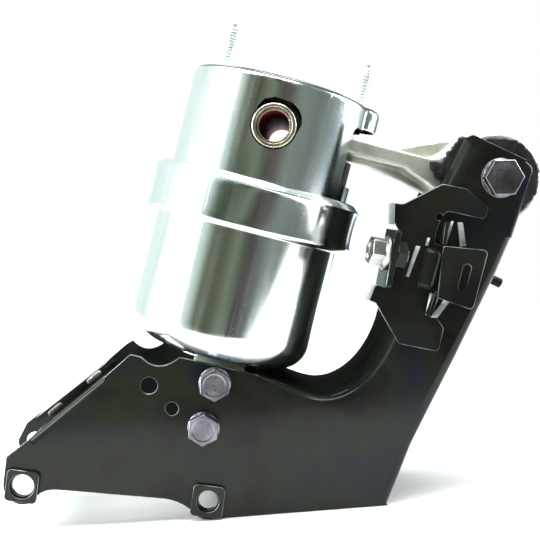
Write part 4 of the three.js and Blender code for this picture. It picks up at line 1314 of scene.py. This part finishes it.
# %% [markdown]
# The pieces inside the can and the bushing keep their CAD shapes, since only edges of them show through the
# window. They still get their real finishes.
# %% Inner pieces
INNER_FINISH = {
    "cast_alloy": ["track_plate_lower", "track_plate_upper", "inner_core"],
    "rubber": [
        "decoupler_disc", "bellows_diaphragm", "main_rubber_spring", "travel_stop_pad", "pivot_bushing",
    ],
    "bare_steel": ["lug_base_plate", "pivot_inner_sleeve"],
}
for slot, names in INNER_FINISH.items():
    for name in names:
        NODES[name].data.materials.clear()
        NODES[name].data.materials.append(MATERIALS[slot])
print("inner pieces:", sum(len(names) for names in INNER_FINISH.values()))

# %% [markdown]
# The floor is a pale sheet of paper, lit bright enough to fade into the room's own pale background.
# %% Floor
FLOOR_SIDE, FLOOR_FRONT, FLOOR_BACK = 0.7, -0.3, 0.9


def floor():
    outline = [(-1, FLOOR_FRONT), (1, FLOOR_FRONT), (1, FLOOR_BACK), (-1, FLOOR_BACK)]
    corners = [(side * FLOOR_SIDE, deep, 0) for side, deep in outline]
    sheet = to_object("floor", corners, [(0, 1, 2, 3)])
    paper = bpy.data.materials.new("paper")
    paper.use_nodes = True
    shader = paper.node_tree.nodes["Principled BSDF"]
    shader.inputs["Base Color"].default_value = (0.9, 0.9, 0.9, 1)
    shader.inputs["Roughness"].default_value = 0.9
    shader.inputs["Specular IOR Level"].default_value = 0.1
    sheet.data.materials.append(paper)


floor()

# %% [markdown]
# Polished metal shows what stands round it, so the studio is a few soft panels with dark gaps between
# them. On each side a wide panel has a narrow bright strip beside it, and overhead a wide panel has a
# strip in front. The gaps give the can its dark bands.
# %% Studio light
def panel(name, centre, aim, size, power, colour=(1, 1, 1)):
    data = bpy.data.lights.new(name, "AREA")
    data.shape = "RECTANGLE"
    data.size, data.size_y = size
    data.energy = power
    data.color = colour
    lamp = bpy.data.objects.new(name, data)
    lamp.location = centre
    lamp.rotation_euler = (Vector(aim) - Vector(centre)).to_track_quat("-Z", "Y").to_euler()
    bpy.context.scene.collection.objects.link(lamp)


MIDDLE = (0, 0, 0.14)
panel("left_panel", (-1.4, -0.35, 0.5), MIDDLE, (1.0, 1.5), 9)
panel("left_strip", (-1.3, -0.14, 0.45), MIDDLE, (0.16, 1.3), 20, (0.93, 0.97, 1.0))
panel("right_panel", (1.3, 0.55, 0.6), MIDDLE, (0.5, 1.0), 7)
panel("right_strip", (1.28, 0.16, 0.45), MIDDLE, (0.14, 1.2), 14)
panel("top_strip", (0.0, -0.5, 1.3), MIDDLE, (1.2, 0.1), 9)
panel("top_panel", (0.0, 0.1, 1.6), MIDDLE, (1.6, 1.4), 34)

# %% [markdown]
# The room is darker than the panels: pale overhead, and dim and slightly olive or blue round the sides.
# The colour follows the direction alone, so it's the same for every view. The camera itself sees plain
# white wherever it looks past the object.
# %% Room
def room():
    world = bpy.data.worlds.new("room")
    world.use_nodes = True
    bpy.context.scene.world = world
    nodes, links = world.node_tree.nodes, world.node_tree.links
    where = nodes.new("ShaderNodeSeparateXYZ")
    links.new(nodes.new("ShaderNodeTexCoord").outputs["Generated"], where.inputs[0])
    heading = nodes.new("ShaderNodeMath")
    heading.operation = "ARCTAN2"
    links.new(where.outputs["X"], heading.inputs[0])
    flipped = nodes.new("ShaderNodeMath")
    flipped.operation = "MULTIPLY"
    flipped.inputs[1].default_value = -1
    links.new(where.outputs["Y"], flipped.inputs[0])
    links.new(flipped.outputs[0], heading.inputs[1])
    scaled = nodes.new("ShaderNodeMapRange")
    scaled.inputs["From Min"].default_value = -math.pi
    scaled.inputs["From Max"].default_value = math.pi
    links.new(heading.outputs[0], scaled.inputs["Value"])
    ramp = nodes.new("ShaderNodeValToRGB")
    for degrees, colour in ROOM_COLOURS:
        at = (degrees + 180) / 360
        element = ramp.color_ramp.elements.new(at)
        element.color = (*colour, 1)
    ramp.color_ramp.elements.remove(ramp.color_ramp.elements[0])
    ramp.color_ramp.elements.remove(ramp.color_ramp.elements[-1])
    links.new(scaled.outputs["Result"], ramp.inputs["Fac"])
    seen = nodes.new("ShaderNodeMix")
    seen.data_type = "RGBA"
    links.new(nodes.new("ShaderNodeLightPath").outputs["Is Camera Ray"], seen.inputs["Factor"])
    links.new(ramp.outputs["Color"], seen.inputs["A"])
    seen.inputs["B"].default_value = (1, 1, 1, 1)
    links.new(seen.outputs["Result"], nodes["Background"].inputs["Color"])


ROOM_COLOURS = [
    (-179, (0.80, 1.0, 0.97)), (-120, (0.95, 1.05, 1.03)), (-60, (0.9, 1.05, 1.0)),
    (-48, (0.55, 0.66, 0.60)), (-40, (0.15, 0.17, 0.12)), (-28, (0.05, 0.06, 0.035)),
    (-18, (0.13, 0.14, 0.09)), (-8, (0.22, 0.25, 0.18)), (2, (0.07, 0.07, 0.055)),
    (14, (0.11, 0.08, 0.085)), (28, (0.24, 0.28, 0.24)), (52, (0.16, 0.18, 0.17)),
    (84, (0.26, 0.30, 0.31)), (98, (0.75, 0.88, 0.9)), (122, (0.9, 1.0, 1.0)),
    (136, (0.25, 0.32, 0.42)), (158, (0.03, 0.05, 0.09)), (179, (0.05, 0.07, 0.11)),
]
room()
bpy.context.scene.view_settings.view_transform = "Standard"
print("room colours:", len(ROOM_COLOURS))
